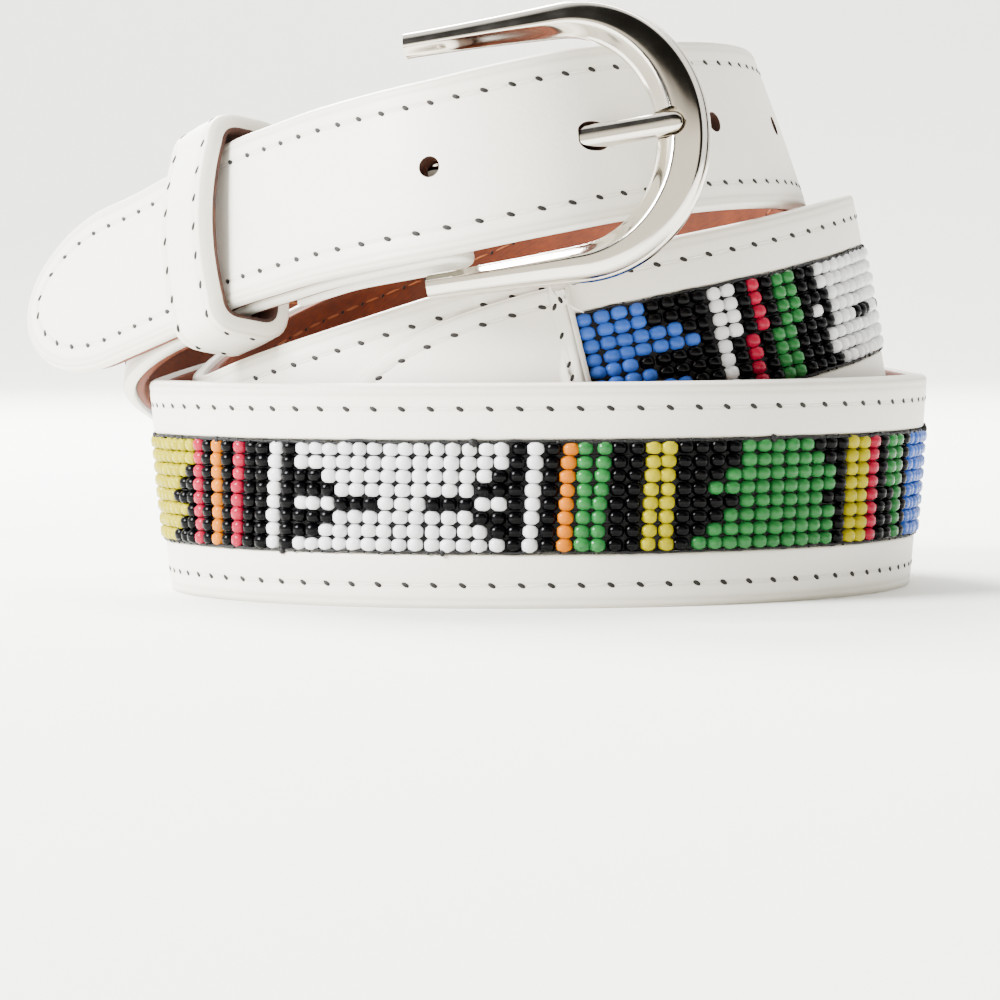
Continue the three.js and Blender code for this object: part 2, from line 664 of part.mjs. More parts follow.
// The tongue's sections: places as shares of its length, widths as shares of PRONG_WIDTH.
const PRONG_SECTIONS = [
  { share: 0, slim: 1 },
  { share: 0.5, slim: 0.97 },
  { share: 0.9, slim: 0.95 },
  { share: 0.96, slim: 0.85 },
  { share: 0.99, slim: 0.6 },
  { share: 1, slim: 0.35 },
];

// The prong: an eye round the bar and a flattened tongue with a round tip.
function buckleProng() {
  const eyeInner = BAR_DIAMETER / 2 + FIT_GAP;
  const eyeOuter = eyeInner + PRONG_EYE_WALL;
  const tongueEnd = seatReach + PRONG_PAST_SEAT;
  const rings = PRONG_SECTIONS.map(({ share, slim }) => {
    const ahead = THREE.MathUtils.lerp(eyeInner, tongueEnd, share);
    return prongProfile(slim).map(([across, lift]) => prongFrame.point(across, -lift, ahead));
  });
  const tongue = solidOf(loft(rings, prongProfile(1)));
  const across = (half, radius) => (
    rodBetween(prongFrame.point(-half, 0), prongFrame.point(half, 0), radius, EYE_SIDES)
  );
  const eye = across(PRONG_WIDTH / 2, eyeOuter);
  const bore = across(PRONG_WIDTH, eyeInner);
  return geometryOf(tongue.add(eye).subtract(bore));
}

function prongProfile(size) {
  const w = (PRONG_WIDTH / 2) * size;
  const t = (PRONG_THICKNESS / 2) * size;
  const outline = [
    [-0.6, -1], [0.6, -1], [1, -0.4], [1, 0.4], [0.6, 1], [-0.6, 1], [-1, 0.4], [-1, -0.4],
  ];
  return outline.map(([across, lift]) => [across * w, lift * t]);
}

// Assembly

function material(color, roughness, metalness = 0) {
  return new THREE.MeshStandardMaterial({ color, roughness, metalness });
}

const WHITE_LEATHER = material(0xe6e4de, 0.55);
const TAN_LEATHER = material(0xa8481c, 0.75);
const GLASS_BEADS = material(0x2f8a35, 0.25);
const NICKEL = material(0xc9c6c0, 0.15, 1);

function named(name, geometry, finish) {
  const mesh = new THREE.Mesh(geometry, finish);
  mesh.name = name;
  return mesh;
}

const belt = new THREE.Group();
belt.add(
  named('billet_strap', billetStrap(), WHITE_LEATHER),
  named('bead_strap', beadStrap(), WHITE_LEATHER),
  named('buckle_strap', buckleStrap(), WHITE_LEATHER),
  named('strap_lining', strapLining(), TAN_LEATHER),
  named('bead_band', beadBand(), GLASS_BEADS),
  named('billet_tab', tab(BEADS_START, -1), WHITE_LEATHER),
  named('buckle_tab', tab(beadsEnd, 1), WHITE_LEATHER),
  named('keeper', keeper(), WHITE_LEATHER),
  named('buckle_rim', buckleRim(), NICKEL),
  named('buckle_prong', buckleProng(), NICKEL),
);

// The origin is below the middle of the whole belt, on the floor.
const box = new THREE.Box3().setFromObject(belt);
const middle = box.getCenter(new THREE.Vector3());
belt.position.set(-middle.x, -middle.y, 0);

export default belt;
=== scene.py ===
"""Looks of a beaded leather belt, fastened and rolled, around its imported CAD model.

The strap's pieces are made flat on a bench, in millimetres along, across and above its outer face,
and are then laid along the coil. All Blender objects are in metres, in the CAD model's frame.
"""

import logging
import math
from collections.abc import Callable
from dataclasses import dataclass
from enum import Enum

import bmesh
import bpy
import numpy as np
from mathutils import Matrix, Vector


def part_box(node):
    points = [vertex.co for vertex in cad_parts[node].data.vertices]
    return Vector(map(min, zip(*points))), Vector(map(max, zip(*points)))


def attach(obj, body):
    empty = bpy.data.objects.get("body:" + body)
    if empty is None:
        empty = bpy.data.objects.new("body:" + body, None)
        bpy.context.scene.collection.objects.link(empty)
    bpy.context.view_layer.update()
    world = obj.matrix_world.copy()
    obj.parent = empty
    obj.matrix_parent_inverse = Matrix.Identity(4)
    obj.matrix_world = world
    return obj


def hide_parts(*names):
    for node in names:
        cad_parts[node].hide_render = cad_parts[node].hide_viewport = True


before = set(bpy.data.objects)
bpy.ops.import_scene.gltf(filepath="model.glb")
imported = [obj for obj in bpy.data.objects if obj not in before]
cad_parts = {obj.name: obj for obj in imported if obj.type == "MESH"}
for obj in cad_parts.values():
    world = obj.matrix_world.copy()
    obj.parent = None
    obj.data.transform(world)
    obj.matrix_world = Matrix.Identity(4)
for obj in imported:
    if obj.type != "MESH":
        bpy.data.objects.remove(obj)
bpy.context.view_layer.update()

LOG = logging.getLogger("beaded_belt")
Lay = Callable[[np.ndarray], np.ndarray]  # how flat points become points of the frame
SEED = 20
MM = 0.001
SHARP_DEG = 52  # edges bent by more than this stay sharp on punched and metal pieces

# Driving dimensions of the strap, as in the CAD source, in millimetres
STRAP_WIDTH = 33.0
END_WIDTH = 26.0
FACE_THICKNESS = 2.0
LINING_THICKNESS = 1.2
LAYER_GAP = 0.3
LINING_INSET = 0.5
STRAP_THICKNESS = FACE_THICKNESS + LAYER_GAP + LINING_THICKNESS
STRAP_REST_GAP = 0.4
LAID_ON = STRAP_THICKNESS + STRAP_REST_GAP
COIL_RADIUS = 60.0
SECTION_STEP = 6.0
TIP_LENGTH = 26.0
TIP_FULLNESS = 2.4
TIP_ROUNDNESS = 0.62
TIP_BLUNT = 0.08
TAPER_START = 255.0
TAPER_LENGTH = 60.0
BUCKLE_TAPER_START = 150.0
BUCKLE_TAPER_LENGTH = 55.0

# Driving dimensions of the beads and tabs
BEAD_ROWS = 8
BEAD_ROW_PITCH = 2.0
BEADS_START = 438.0
BEADS_LENGTH = 482.5
BAND_HALF = BEAD_ROWS * BEAD_ROW_PITCH / 2
BAND_PROUD = 0.6
CHANNEL_DEPTH = 1.3
TAB_WIDTH = 25.4
TAB_LENGTH = 37.0
TAB_COVER = 14.0
TAB_FULLNESS = 2.6
TAB_POINT = 0.93

# Driving dimensions of the holes, the keeper and the buckle
HOLE_COUNT = 5
FIRST_HOLE = 100.0
HOLE_PITCH = 25.4
HOLE_DIAMETER = 3.1
PRONG_HOLE = 1
KEEPER_FROM_TIP = 52.5
KEEPER_WIDTH = 11.6
KEEPER_WALL = 2.8
KEEPER_EDGE_ROOM = 1.6
KEEPER_FACE_ROOM = 0.6
KEEPER_BACK_ROOM = 0.6
KEEPER_CROWN = 2.0
KEEPER_ROUND = 2.4
BUCKLE_HEIGHT = 40.1
BUCKLE_LENGTH = 43.4
RIM_AT_ARMS = 3.8
RIM_AT_END = 7.8
RIM_THICKNESS = 4.0
RIM_THICKNESS_AT_ARMS = 3.2
RIM_SWELL = 1.7
BAR_DIAMETER = 3.0
BAR_WALL = 1.6
BUCKLE_BEND = 20.3
BUCKLE_RISE = 2.7
PRONG_REACH = 27.2
PRONG_WIDTH = 3.6
PRONG_THICKNESS = 2.6
PRONG_EYE_WALL = 1.3
PRONG_PROUD = 0.2
PRONG_PAST_SEAT = 0.6
FIT_GAP = 0.4
FOLD_RETURN = 30.0
FOLD_SLOT_LENGTH = 13.0
FOLD_START = 0.5
FOLD_SETTLED = 0.6
LINING_STOP = 7.3
SEAM = 0.02  # what is left open between two runs of face leather

# Driving dimensions of the stitching
STITCH_PITCH = 4.35
STITCH_INSET = 3.7
TAB_STITCH_INSET = 2.6
KEEPER_STITCH_INSET = 1.7
FIRST_STITCH = 1.5
LAST_STITCH = 5.0
SEWN_TO_BAR = 18.0

# The strap's route, row for row as in the CAD source: turn round the coil, reach as a share of
# COIL_RADIUS, rise as a share of STRAP_WIDTH, lean of the upper edge outwards in degrees.
ROUTE = np.array([
    (-0.018, 1.365, 1.32, -14),
    (0.003, 1.21, 1.39, -13),
    (0.025, 1.097, 1.47, -12),
    (0.049, 1.023, 1.55, -11),
    (0.075, 0.973, 1.635, -10),
    (0.102, 0.958, 1.715, -10),
    (0.129, 0.967, 1.77, -10),
    (0.153, 0.992, 1.82, -10),
    (0.177, 1.026, 1.865, -10),
    (0.198, 1.052, 1.905, -10),
    (0.217, 1.063, 1.945, -11),
    (0.235, 1.058, 1.99, -12),
    (0.254, 1.035, 2.035, -13),
    (0.275, 0.985, 2.08, -14),
    (0.3, 0.918, 2.11, -16),
    (0.33, 0.838, 2.135, -17),
    (0.37, 0.758, 2.15, -18),
    (0.425, 0.683, 2.15, -19),
    (0.49, 0.645, 2.12, -19),
    (0.5625, 0.648, 2.01, -16),
    (0.625, 0.675, 1.83, -12),
    (0.6875, 0.71, 1.61, -8),
    (0.75, 0.75, 1.37, -4),
    (0.8125, 0.788, 1.12, -1),
    (0.875, 0.822, 0.87, 2),
    (0.9375, 0.852, 0.65, 5),
    (1, 0.872, 0.52, 6),
    (1.0625, 0.88, 0.53, 4),
    (1.11, 0.878, 0.625, 1),
    (1.16, 0.866, 0.75, -3),
    (1.21, 0.854, 0.89, -6),
    (1.26, 0.85, 1.02, -8),
    (1.31, 0.86, 1.12, -9),
    (1.36, 0.876, 1.205, -9),
    (1.41, 0.885, 1.285, -10),
    (1.45, 0.885, 1.335, -10),
    (1.5, 0.88, 1.355, -10),
    (1.5625, 0.875, 1.31, -8),
    (1.625, 0.877, 1.21, -6),
    (1.6875, 0.885, 1.075, -4),
    (1.75, 0.898, 0.935, -1),
    (1.8125, 0.915, 0.79, 2),
    (1.875, 0.937, 0.655, 5),
    (1.9375, 0.962, 0.545, 7),
    (2, 0.982, 0.49, 6),
    (2.06, 0.992, 0.49, 5),
    (2.11, 0.986, 0.49, 4),
    (2.16, 0.98, 0.49, 3),
    (2.21, 0.972, 0.49, 2),
    (2.26, 0.979, 0.49, 2),
    (2.31, 1, 0.49, 3),
    (2.36, 1.015, 0.49, 4),
    (2.41, 1.018, 0.49, 5),
    (2.45, 1.01, 0.49, 5),
    (2.5, 1, 0.49, 5),
    (2.5625, 1, 0.52, 4),
    (2.625, 1.008, 0.565, 3),
    (2.6875, 1.016, 0.64, 2),
    (2.75, 1.024, 0.745, 1),
    (2.8125, 1.034, 0.87, 0),
    (2.875, 1.05, 1, -2),
    (2.9375, 1.07, 1.14, -4),
    (3, 1.058, 1.35, -7),
])
LAID_FROM_TURN = 0.04
FRONT_TURN = 0.25


# The strap's route


def smoothstep(value: np.ndarray, low: float, high: float) -> np.ndarray:
    """Rise smoothly from 0 at low to 1 at high.

    Args:
        value: Where to look.
        low: Where the rise starts.
        high: Where it ends.

    Returns:
        The share of the rise, from 0 to 1.
    """
    share = np.clip((np.asarray(value, float) - low) / (high - low), 0, 1)
    return share * share * (3 - 2 * share)


class NaturalSpline:
    """A smooth curve through rows of values at rising knots, with no bend at its two ends."""

    def __init__(self, knots: np.ndarray, values: np.ndarray) -> None:
        """Solve the bends at the knots.

        Args:
            knots: Rising places.
            values: One row of values for each knot.
        """
        count = len(knots)
        span = np.diff(knots)[:, None]
        slope = np.diff(values, axis=0) / span
        system = np.eye(count)
        for i in range(1, count - 1):
            system[i, i - 1:i + 2] = span[i - 1, 0], 2 * (span[i - 1, 0] + span[i, 0]), span[i, 0]
        target = np.zeros_like(values)
        target[1:-1] = 6 * (slope[1:] - slope[:-1])
        self.knots = knots
        self.values = values
        self.bends = np.linalg.solve(system, target)

    def at(self, places: np.ndarray) -> np.ndarray:
        """Read the curve.

        Args:
            places: Where, in the knots' own measure.

        Returns:
            One row of values for each place.
        """
        left = np.clip(np.searchsorted(self.knots, places) - 1, 0, len(self.knots) - 2)
        span = self.knots[left + 1] - self.knots[left]
        late = (places - self.knots[left]) / span
        early = 1 - late
        lift_early = ((early**3 - early) * span**2 / 6)[:, None] * self.bends[left]
        lift_late = ((late**3 - late) * span**2 / 6)[:, None] * self.bends[left + 1]
        straight = early[:, None] * self.values[left] + late[:, None] * self.values[left + 1]
        return straight + lift_early + lift_late


@dataclass
class Places:
    """Places on the belt, one row each: an origin in millimetres and three unit directions."""

    origin: np.ndarray
    along: np.ndarray
    up: np.ndarray
    out: np.ndarray

    def points(self, across: np.ndarray, lift: np.ndarray, ahead: np.ndarray | float = 0) -> np.ndarray:
        """Give the points at these places.

        Args:
            across: Distance up the strap's width.
            lift: Distance out from its outer face.
            ahead: Distance straight on along the strap.

        Returns:
            Points in millimetres, in the route's own frame.
        """
        def column(value: np.ndarray | float) -> np.ndarray:
            """Stand a value beside each place."""
            return np.broadcast_to(value, len(self.origin))[:, None]

        return (self.origin + column(across) * self.up + column(lift) * self.out
                + column(ahead) * self.along)

    def turned(self, angle: float) -> "Places":
        """Turn the places about their own up directions.

        Args:
            angle: Radians, from along towards the strap's inside.

        Returns:
            The turned places.
        """
        along = math.cos(angle) * self.along - math.sin(angle) * self.out
        return Places(self.origin, along, self.up, np.cross(along, self.up))


class StrapTrack:
    """A smooth track through stations of x, y, z and lean, measured along its length."""

    def __init__(self, turns: np.ndarray, stations: np.ndarray) -> None:
        """Measure the track.

        Args:
            turns: Rising turns round the coil.
            stations: Rows of x, y, z in millimetres and lean in degrees.
        """
        self.spline = NaturalSpline(turns, stations)
        self.turns = np.linspace(turns[0], turns[-1], 24 * len(turns) + 1)
        steps = np.diff(self.spline.at(self.turns)[:, :3], axis=0)
        self.lengths = np.concatenate([[0], np.cumsum(np.linalg.norm(steps, axis=1))])

    def at_turns(self, turns: np.ndarray) -> Places:
        """Give places on the track.

        Args:
            turns: Turns round the coil.

        Returns:
            The places.
        """
        small = 1e-4
        rows = self.spline.at(turns)
        along = self.spline.at(turns + small)[:, :3] - self.spline.at(turns - small)[:, :3]
        along /= np.linalg.norm(along, axis=1)[:, None]
        outwards = np.column_stack([along[:, 1], -along[:, 0], np.zeros(len(along))])
        outwards /= np.linalg.norm(outwards, axis=1)[:, None]
        lean = np.radians(rows[:, 3])[:, None]
        up = np.sin(lean) * outwards + np.cos(lean) * np.array([0, 0, 1])
        up -= np.sum(up * along, axis=1)[:, None] * along
        up /= np.linalg.norm(up, axis=1)[:, None]
        return Places(rows[:, :3], along, up, np.cross(along, up))

    def at(self, lengths: np.ndarray | float) -> Places:
        """Give the places at these lengths from the tip."""
        return self.at_turns(np.interp(np.atleast_1d(lengths), self.lengths, self.turns))

    def length_a_coil_on(self, length: float, turns: float) -> float:
        """Give the length that lies a number of turns further on than a length."""
        turn = np.interp(length, self.lengths, self.turns)
        return float(np.interp(turn + turns, self.turns, self.lengths))


def build_track() -> StrapTrack:
    """Lay the route: the coil, then the stretch that lies under the billet up to the buckle.

    Returns:
        The whole belt's track.
    """
    angle = np.pi * (1 + 2 * ROUTE[:, 0])
    reach = ROUTE[:, 1] * COIL_RADIUS
    rise = ROUTE[:, 2] * STRAP_WIDTH
    coil = np.column_stack([reach * np.cos(angle), reach * np.sin(angle), rise, ROUTE[:, 3]])
    billet = StrapTrack(ROUTE[:, 0], coil)
    chosen = (ROUTE[:, 0] > LAID_FROM_TURN) & (ROUTE[:, 0] < FRONT_TURN)
    laid_turns = ROUTE[chosen, 0]
    laid = billet.at_turns(laid_turns).points(0, -LAID_ON)
    stations = np.vstack([coil, np.column_stack([laid, ROUTE[chosen, 3]])])
    return StrapTrack(np.concatenate([ROUTE[:, 0], laid_turns + 3]), stations)


TRACK = build_track()
PRONG_HOLE_AT = FIRST_HOLE + PRONG_HOLE * HOLE_PITCH
BAR_ON_BILLET = PRONG_HOLE_AT - PRONG_REACH
BAR_AT = TRACK.length_a_coil_on(BAR_ON_BILLET, 3)
BEADS_END = BEADS_START + BEADS_LENGTH


def belt_offset() -> np.ndarray:
    """Find how far the CAD model's frame lies from the route's own, from the bead band's box.

    Returns:
        The shift to add to the route's points, in millimetres.
    """
    start, end = BEADS_START + LAYER_GAP, BEADS_END - LAYER_GAP
    sections = np.arange(TIP_LENGTH, end, SECTION_STEP)
    places = TRACK.at(np.concatenate([[start], sections[sections > start], [end]]))
    corners = [places.points(across, lift) for across in (-BAND_HALF, BAND_HALF)
               for lift in (BAND_PROUD, LAYER_GAP - CHANNEL_DEPTH)]
    points = np.vstack(corners)
    low, high = (np.array(corner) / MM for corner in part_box("bead_band"))
    shift = (low + high - points.min(axis=0) - points.max(axis=0)) / 2
    shift[2] = 0
    return shift


OFFSET = belt_offset()


def in_frame(points: np.ndarray) -> np.ndarray:
    """Carry points into the CAD model's frame, none of them below the floor.

    Args:
        points: Points in millimetres, in the route's own frame.

    Returns:
        The points in metres, in the CAD model's frame.
    """
    moved = points + OFFSET
    moved[:, 2] = np.maximum(moved[:, 2], 0)
    return moved * MM


def laid(flat: np.ndarray) -> np.ndarray:
    """Lay flat points along the strap.

    Args:
        flat: Rows of length from the tip, distance across and lift above the outer face.

    Returns:
        Points in metres, in the CAD model's frame.
    """
    return in_frame(TRACK.at(flat[:, 0]).points(flat[:, 1], flat[:, 2]))


FOLD_INNER = BAR_DIAMETER / 2 + FIT_GAP
FOLD_OUTER = FOLD_INNER + FACE_THICKNESS
FOLD_ARC = math.pi * (FOLD_INNER + FOLD_OUTER) / 2


def laid_and_folded(flat: np.ndarray) -> np.ndarray:
    """Lay flat points along the strap, round the buckle's bar and back below the strap.

    Args:
        flat: Rows as laid() takes them; lengths past the bar run on round it.

    Returns:
        Points in metres, in the CAD model's frame.
    """
    past = flat[:, 0] - (BAR_AT - FOLD_START)
    back = past - FOLD_ARC
    places = TRACK.at(np.where(back > 0, BAR_AT - FOLD_START - back, flat[:, 0]))
    top = (FOLD_OUTER + FOLD_INNER) + (STRAP_THICKNESS + LAYER_GAP - FOLD_OUTER - FOLD_INNER) * (
        smoothstep(back / FOLD_RETURN, 0, FOLD_SETTLED))
    lift = np.where(back > 0, -(top + FACE_THICKNESS + flat[:, 2]), flat[:, 2])
    points = places.points(flat[:, 1], lift)
    bent = (past > 0) & (back <= 0)
    angle = past[bent] * math.pi / FOLD_ARC
    radius = FOLD_OUTER + flat[bent, 2]
    bar = TRACK.at(np.full(bent.sum(), BAR_AT))
    points[bent] = bar.points(
        flat[bent, 1], radius * np.cos(angle) - FOLD_OUTER, radius * np.sin(angle))
    return in_frame(points)


def strap_half(at: np.ndarray) -> np.ndarray:
    """Work out half the strap's width.

    Args:
        at: Lengths from the tip.

    Returns:
        Half the width at each length.
    """
    at = np.asarray(at, float)
    wide, narrow = STRAP_WIDTH / 2, END_WIDTH / 2
    narrowing = BAR_AT - BUCKLE_TAPER_START
    widened = smoothstep(at, TAPER_START, TAPER_START + TAPER_LENGTH)
    narrowed = smoothstep(at, narrowing, narrowing + BUCKLE_TAPER_LENGTH)
    full = narrow + (wide - narrow) * widened * (1 - narrowed)
    share = np.clip(1 - at / TIP_LENGTH, 0, 1)
    pointed = np.maximum(1 - share**TIP_FULLNESS, 0) ** TIP_ROUNDNESS
    closing = np.sqrt(np.clip(at, 0, 1))
    return full * pointed + narrow * TIP_BLUNT * share * closing


# Colour, materials and meshes


def linear(code: str) -> tuple[float, float, float, float]:
    """Turn an sRGB hex colour into a linear one.

    Args:
        code: Six hex digits after a #.

    Returns:
        Linear red, green, blue and an alpha of 1.
    """
    parts = [int(code[i:i + 2], 16) / 255 for i in (1, 3, 5)]
    lin = [p / 12.92 if p <= 0.04045 else ((p + 0.055) / 1.055) ** 2.4 for p in parts]
    return (*lin, 1.0)


def add(tree: bpy.types.NodeTree, kind: str, inputs: dict | None = None, **settings) -> bpy.types.Node:
    """Add a node with its settings and links.

    Args:
        tree: The node tree.
        kind: The node's type name.
        inputs: Socket names or numbers, each with a value or with the socket that feeds it.
        **settings: The node's own properties.

    Returns:
        The node.
    """
    node = tree.nodes.new(kind)
    for name, value in settings.items():
        setattr(node, name, value)
    for name, value in (inputs or {}).items():
        if isinstance(value, bpy.types.NodeSocket):
            tree.links.new(value, node.inputs[name])
        else:
            node.inputs[name].default_value = value
    return node


def per_mm(size: float) -> float:
    """Give the texture scale whose features are about this many millimetres in size."""
    return 1 / (size * MM)


@dataclass(frozen=True)
class Finish:
    """What all finishes share: a name and the plain values of the Principled shader."""

    name: str = "finish"

    def start(self, **sockets) -> tuple[bpy.types.Material, bpy.types.NodeTree, bpy.types.Node]:
        """Make the material.

        Args:
            **sockets: Socket names with spaces as underscores, each with its constant value.

        Returns:
            The material, its tree and its Principled node.
        """
        material = bpy.data.materials.new(self.name)
        material.use_nodes = True
        tree = material.node_tree
        shader = tree.nodes["Principled BSDF"]
        for name, value in sockets.items():
            shader.inputs[name.replace("_", " ")].default_value = value
        return material, tree, shader


@dataclass(frozen=True)
class CoatedLeather(Finish):
    """Smooth cow leather with a white pigment coat, plated flat and lightly grained.

    It looks soft and even, with a satin gloss that the fine pebble grain breaks up. Its creases,
    stitch grooves and the start of its edges' rounding are painted a little greyer as painted shade.
    """

    name: str = "coated_white_leather"
    colour: str = "#E8E5DB"
    shade: str = "#E0DCD0"
    # painted shade: the greyer colour of creases and stitch grooves
    crease_shade: str = "#C2BBAC"
    pebble_mm: float = 0.8
    pore_mm: float = 0.3
    mottle_mm: float = 11.0
    height_mm: float = 0.05

    def build(self) -> bpy.types.Material:
        """Build the leather's material.

        Returns:
            The material.
        """
        material, tree, shader = self.start(IOR=1.48, Coat_Weight=0.06, Coat_Roughness=0.3)
        coords = add(tree, "ShaderNodeTexCoord").outputs["Object"]
        mottle = add(tree, "ShaderNodeTexNoise",
                     {"Vector": coords, "Scale": per_mm(self.mottle_mm), "Detail": 4.0})
        tone = add(tree, "ShaderNodeMix", {0: mottle.outputs["Fac"], 6: linear(self.colour),
                                           7: linear(self.shade)}, data_type="RGBA")
        # Painted shade: mix in the greyer colour where the mesh marks creases and grooves
        painted_shade_share = add(tree, "ShaderNodeAttribute", attribute_name="painted_shade_share").outputs["Fac"]
        base = add(tree, "ShaderNodeMix", {0: painted_shade_share, 6: tone.outputs[2],
                                           7: linear(self.crease_shade)}, data_type="RGBA")
        tree.links.new(base.outputs[2], shader.inputs["Base Color"])
        rough = add(tree, "ShaderNodeMapRange", {"Value": mottle.outputs["Fac"],
                                                 "To Min": 0.4, "To Max": 0.52})
        tree.links.new(rough.outputs[0], shader.inputs["Roughness"])
        pebble = add(tree, "ShaderNodeTexVoronoi", {"Vector": coords, "Scale": per_mm(self.pebble_mm)},
                     feature="SMOOTH_F1")
        pores = add(tree, "ShaderNodeTexNoise",
                    {"Vector": coords, "Scale": per_mm(self.pore_mm), "Detail": 2.0})
        height = add(tree, "ShaderNodeMath", {0: pebble.outputs["Distance"], 1: pores.outputs["Fac"]},
                     operation="ADD")
        bump = add(tree, "ShaderNodeBump", {"Height": height.outputs[0], "Strength": 0.5,
                                            "Distance": self.height_mm * MM})
        tree.links.new(bump.outputs[0], shader.inputs["Normal"])
        return material


@dataclass(frozen=True)
class VegetableTannedLining(Finish):
    """Undyed lining leather, drum-tanned to an orange tan with its fibre side showing.

    It looks warm and matte, with fine fibres along the strap and darker patches from wear.
    """

    name: str = "tanned_lining_leather"
    colour: str = "#6E2E08"
    shade: str = "#481B03"
    fibre_mm: float = 0.35
    patch_mm: float = 9.0
    height_mm: float = 0.06

    def build(self) -> bpy.types.Material:
        """Build the lining's material.

        Returns:
            The material.
        """
        material, tree, shader = self.start(IOR=1.45)
        coords = add(tree, "ShaderNodeTexCoord")
        stretch = add(tree, "ShaderNodeMapping", {"Vector": coords.outputs["UV"],
                                                  "Scale": (0.2, 1.0, 1.0)})
        fibre = add(tree, "ShaderNodeTexNoise", {"Vector": stretch.outputs[0],
                                                 "Scale": per_mm(self.fibre_mm), "Detail": 6.0})
        patch = add(tree, "ShaderNodeTexNoise", {"Vector": coords.outputs["Object"],
                                                 "Scale": per_mm(self.patch_mm), "Detail": 5.0})
        both = add(tree, "ShaderNodeMath", {0: fibre.outputs["Fac"], 1: patch.outputs["Fac"]},
                   operation="MULTIPLY")
        share = add(tree, "ShaderNodeMapRange", {"Value": both.outputs[0], "From Min": 0.12,
                                                 "From Max": 0.42})
        base = add(tree, "ShaderNodeMix", {0: share.outputs[0], 6: linear(self.shade),
                                           7: linear(self.colour)}, data_type="RGBA")
        tree.links.new(base.outputs[2], shader.inputs["Base Color"])
        rough = add(tree, "ShaderNodeMapRange", {"Value": fibre.outputs["Fac"],
                                                 "To Min": 0.7, "To Max": 0.88})
        tree.links.new(rough.outputs[0], shader.inputs["Roughness"])
        bump = add(tree, "ShaderNodeBump", {"Height": fibre.outputs["Fac"], "Strength": 0.6,
                                            "Distance": self.height_mm * MM})
        tree.links.new(bump.outputs[0], shader.inputs["Normal"])
        return material


@dataclass(frozen=True)
class OpaqueGlass(Finish):
    """Drawn and tumbled opaque soda-lime glass, as size 11/0 seed beads are made of.

    It looks wet and even in colour, with a pin-sharp highlight on each bead, and no two beads
    have quite the same tone.
    """

    name: str = "seed_bead_glass"
    colour: str = "#FFFFFF"
    gloss: float = 0.6
    tone_spread: float = 0.12
    ripple_mm: float = 0.9
    height_mm: float = 0.03

    def build(self) -> bpy.types.Material:
        """Build the material of one bead colour.

        Returns:
            The material.
        """
        material, tree, shader = self.start(Roughness=0.24, IOR=1.5, Specular_IOR_Level=self.gloss / 2,
                                            Coat_Weight=self.gloss, Coat_Roughness=0.06)
        tone = add(tree, "ShaderNodeAttribute", attribute_name="tone").outputs["Fac"]
        value = add(tree, "ShaderNodeMapRange", {"Value": tone, "From Min": -1.0,
                                                 "To Min": 1 - self.tone_spread,
                                                 "To Max": 1 + self.tone_spread / 3})
        hue = add(tree, "ShaderNodeHueSaturation", {"Color": linear(self.colour),
                                                    "Value": value.outputs[0]})
        tree.links.new(hue.outputs[0], shader.inputs["Base Color"])
        coords = add(tree, "ShaderNodeTexCoord").outputs["Object"]
        ripple = add(tree, "ShaderNodeTexNoise", {"Vector": coords, "Scale": per_mm(self.ripple_mm)})
        bump = add(tree, "ShaderNodeBump", {"Height": ripple.outputs["Fac"], "Strength": 0.4,
                                            "Distance": self.height_mm * MM})
        tree.links.new(bump.outputs[0], shader.inputs["Normal"])
        return material


@dataclass(frozen=True)
class WaxedThread(Finish):
    """Waxed polyester thread, twisted from three plies.

    It looks slightly shiny along its plies. The plies are drawn 0.4 mm apart, about twice their
    real size, so that they show.
    """

    name: str = "waxed_thread"
    colour: str = "#050506"
    ply_mm: float = 0.4
    height_mm: float = 0.08

    def build(self) -> bpy.types.Material:
        """Build the thread's material.

        Returns:
            The material.
        """
        material, tree, shader = self.start(Roughness=0.65, IOR=1.4)
        coords = add(tree, "ShaderNodeTexCoord").outputs["Object"]
        fuzz = add(tree, "ShaderNodeTexNoise", {"Vector": coords, "Scale": per_mm(self.ply_mm),
                                                "Detail": 3.0})
        tone = add(tree, "ShaderNodeMapRange", {"Value": fuzz.outputs["Fac"], "To Min": 0.75,
                                                "To Max": 1.15})
        hue = add(tree, "ShaderNodeHueSaturation", {"Color": linear(self.colour),
                                                    "Value": tone.outputs[0]})
        tree.links.new(hue.outputs[0], shader.inputs["Base Color"])
        bump = add(tree, "ShaderNodeBump", {"Height": fuzz.outputs["Fac"], "Strength": 0.8,
                                            "Distance": self.height_mm * MM})
        tree.links.new(bump.outputs[0], shader.inputs["Normal"])
        return material


@dataclass(frozen=True)
class PolishedNickel(Finish):
    """Zinc alloy cast to shape, polished and plated with nickel.

    It looks like a warm mirror, with faint swirls from the polishing mop that soften what it
    reflects.
    """

    name: str = "polished_nickel_plate"
    colour: str = "#D9D3C8"
    haze_mm: float = 5.0
    swirl_mm: float = 0.35
    height_mm: float = 0.004

    def build(self) -> bpy.types.Material:
        """Build the plating's material.

        Returns:
            The material.
        """
        material, tree, shader = self.start(Metallic=1.0, Base_Color=linear(self.colour))
        coords = add(tree, "ShaderNodeTexCoord").outputs["Object"]
        haze = add(tree, "ShaderNodeTexNoise", {"Vector": coords, "Scale": per_mm(self.haze_mm),
                                                "Detail": 4.0})
        rough = add(tree, "ShaderNodeMapRange", {"Value": haze.outputs["Fac"], "To Min": 0.05,
                                                 "To Max": 0.16})
        tree.links.new(rough.outputs[0], shader.inputs["Roughness"])
        swirl = add(tree, "ShaderNodeTexNoise", {"Vector": coords, "Scale": per_mm(self.swirl_mm),
                                                 "Detail": 5.0})
        bump = add(tree, "ShaderNodeBump", {"Height": swirl.outputs["Fac"], "Strength": 0.35,
                                            "Distance": self.height_mm * MM})
        tree.links.new(bump.outputs[0], shader.inputs["Normal"])
        return material


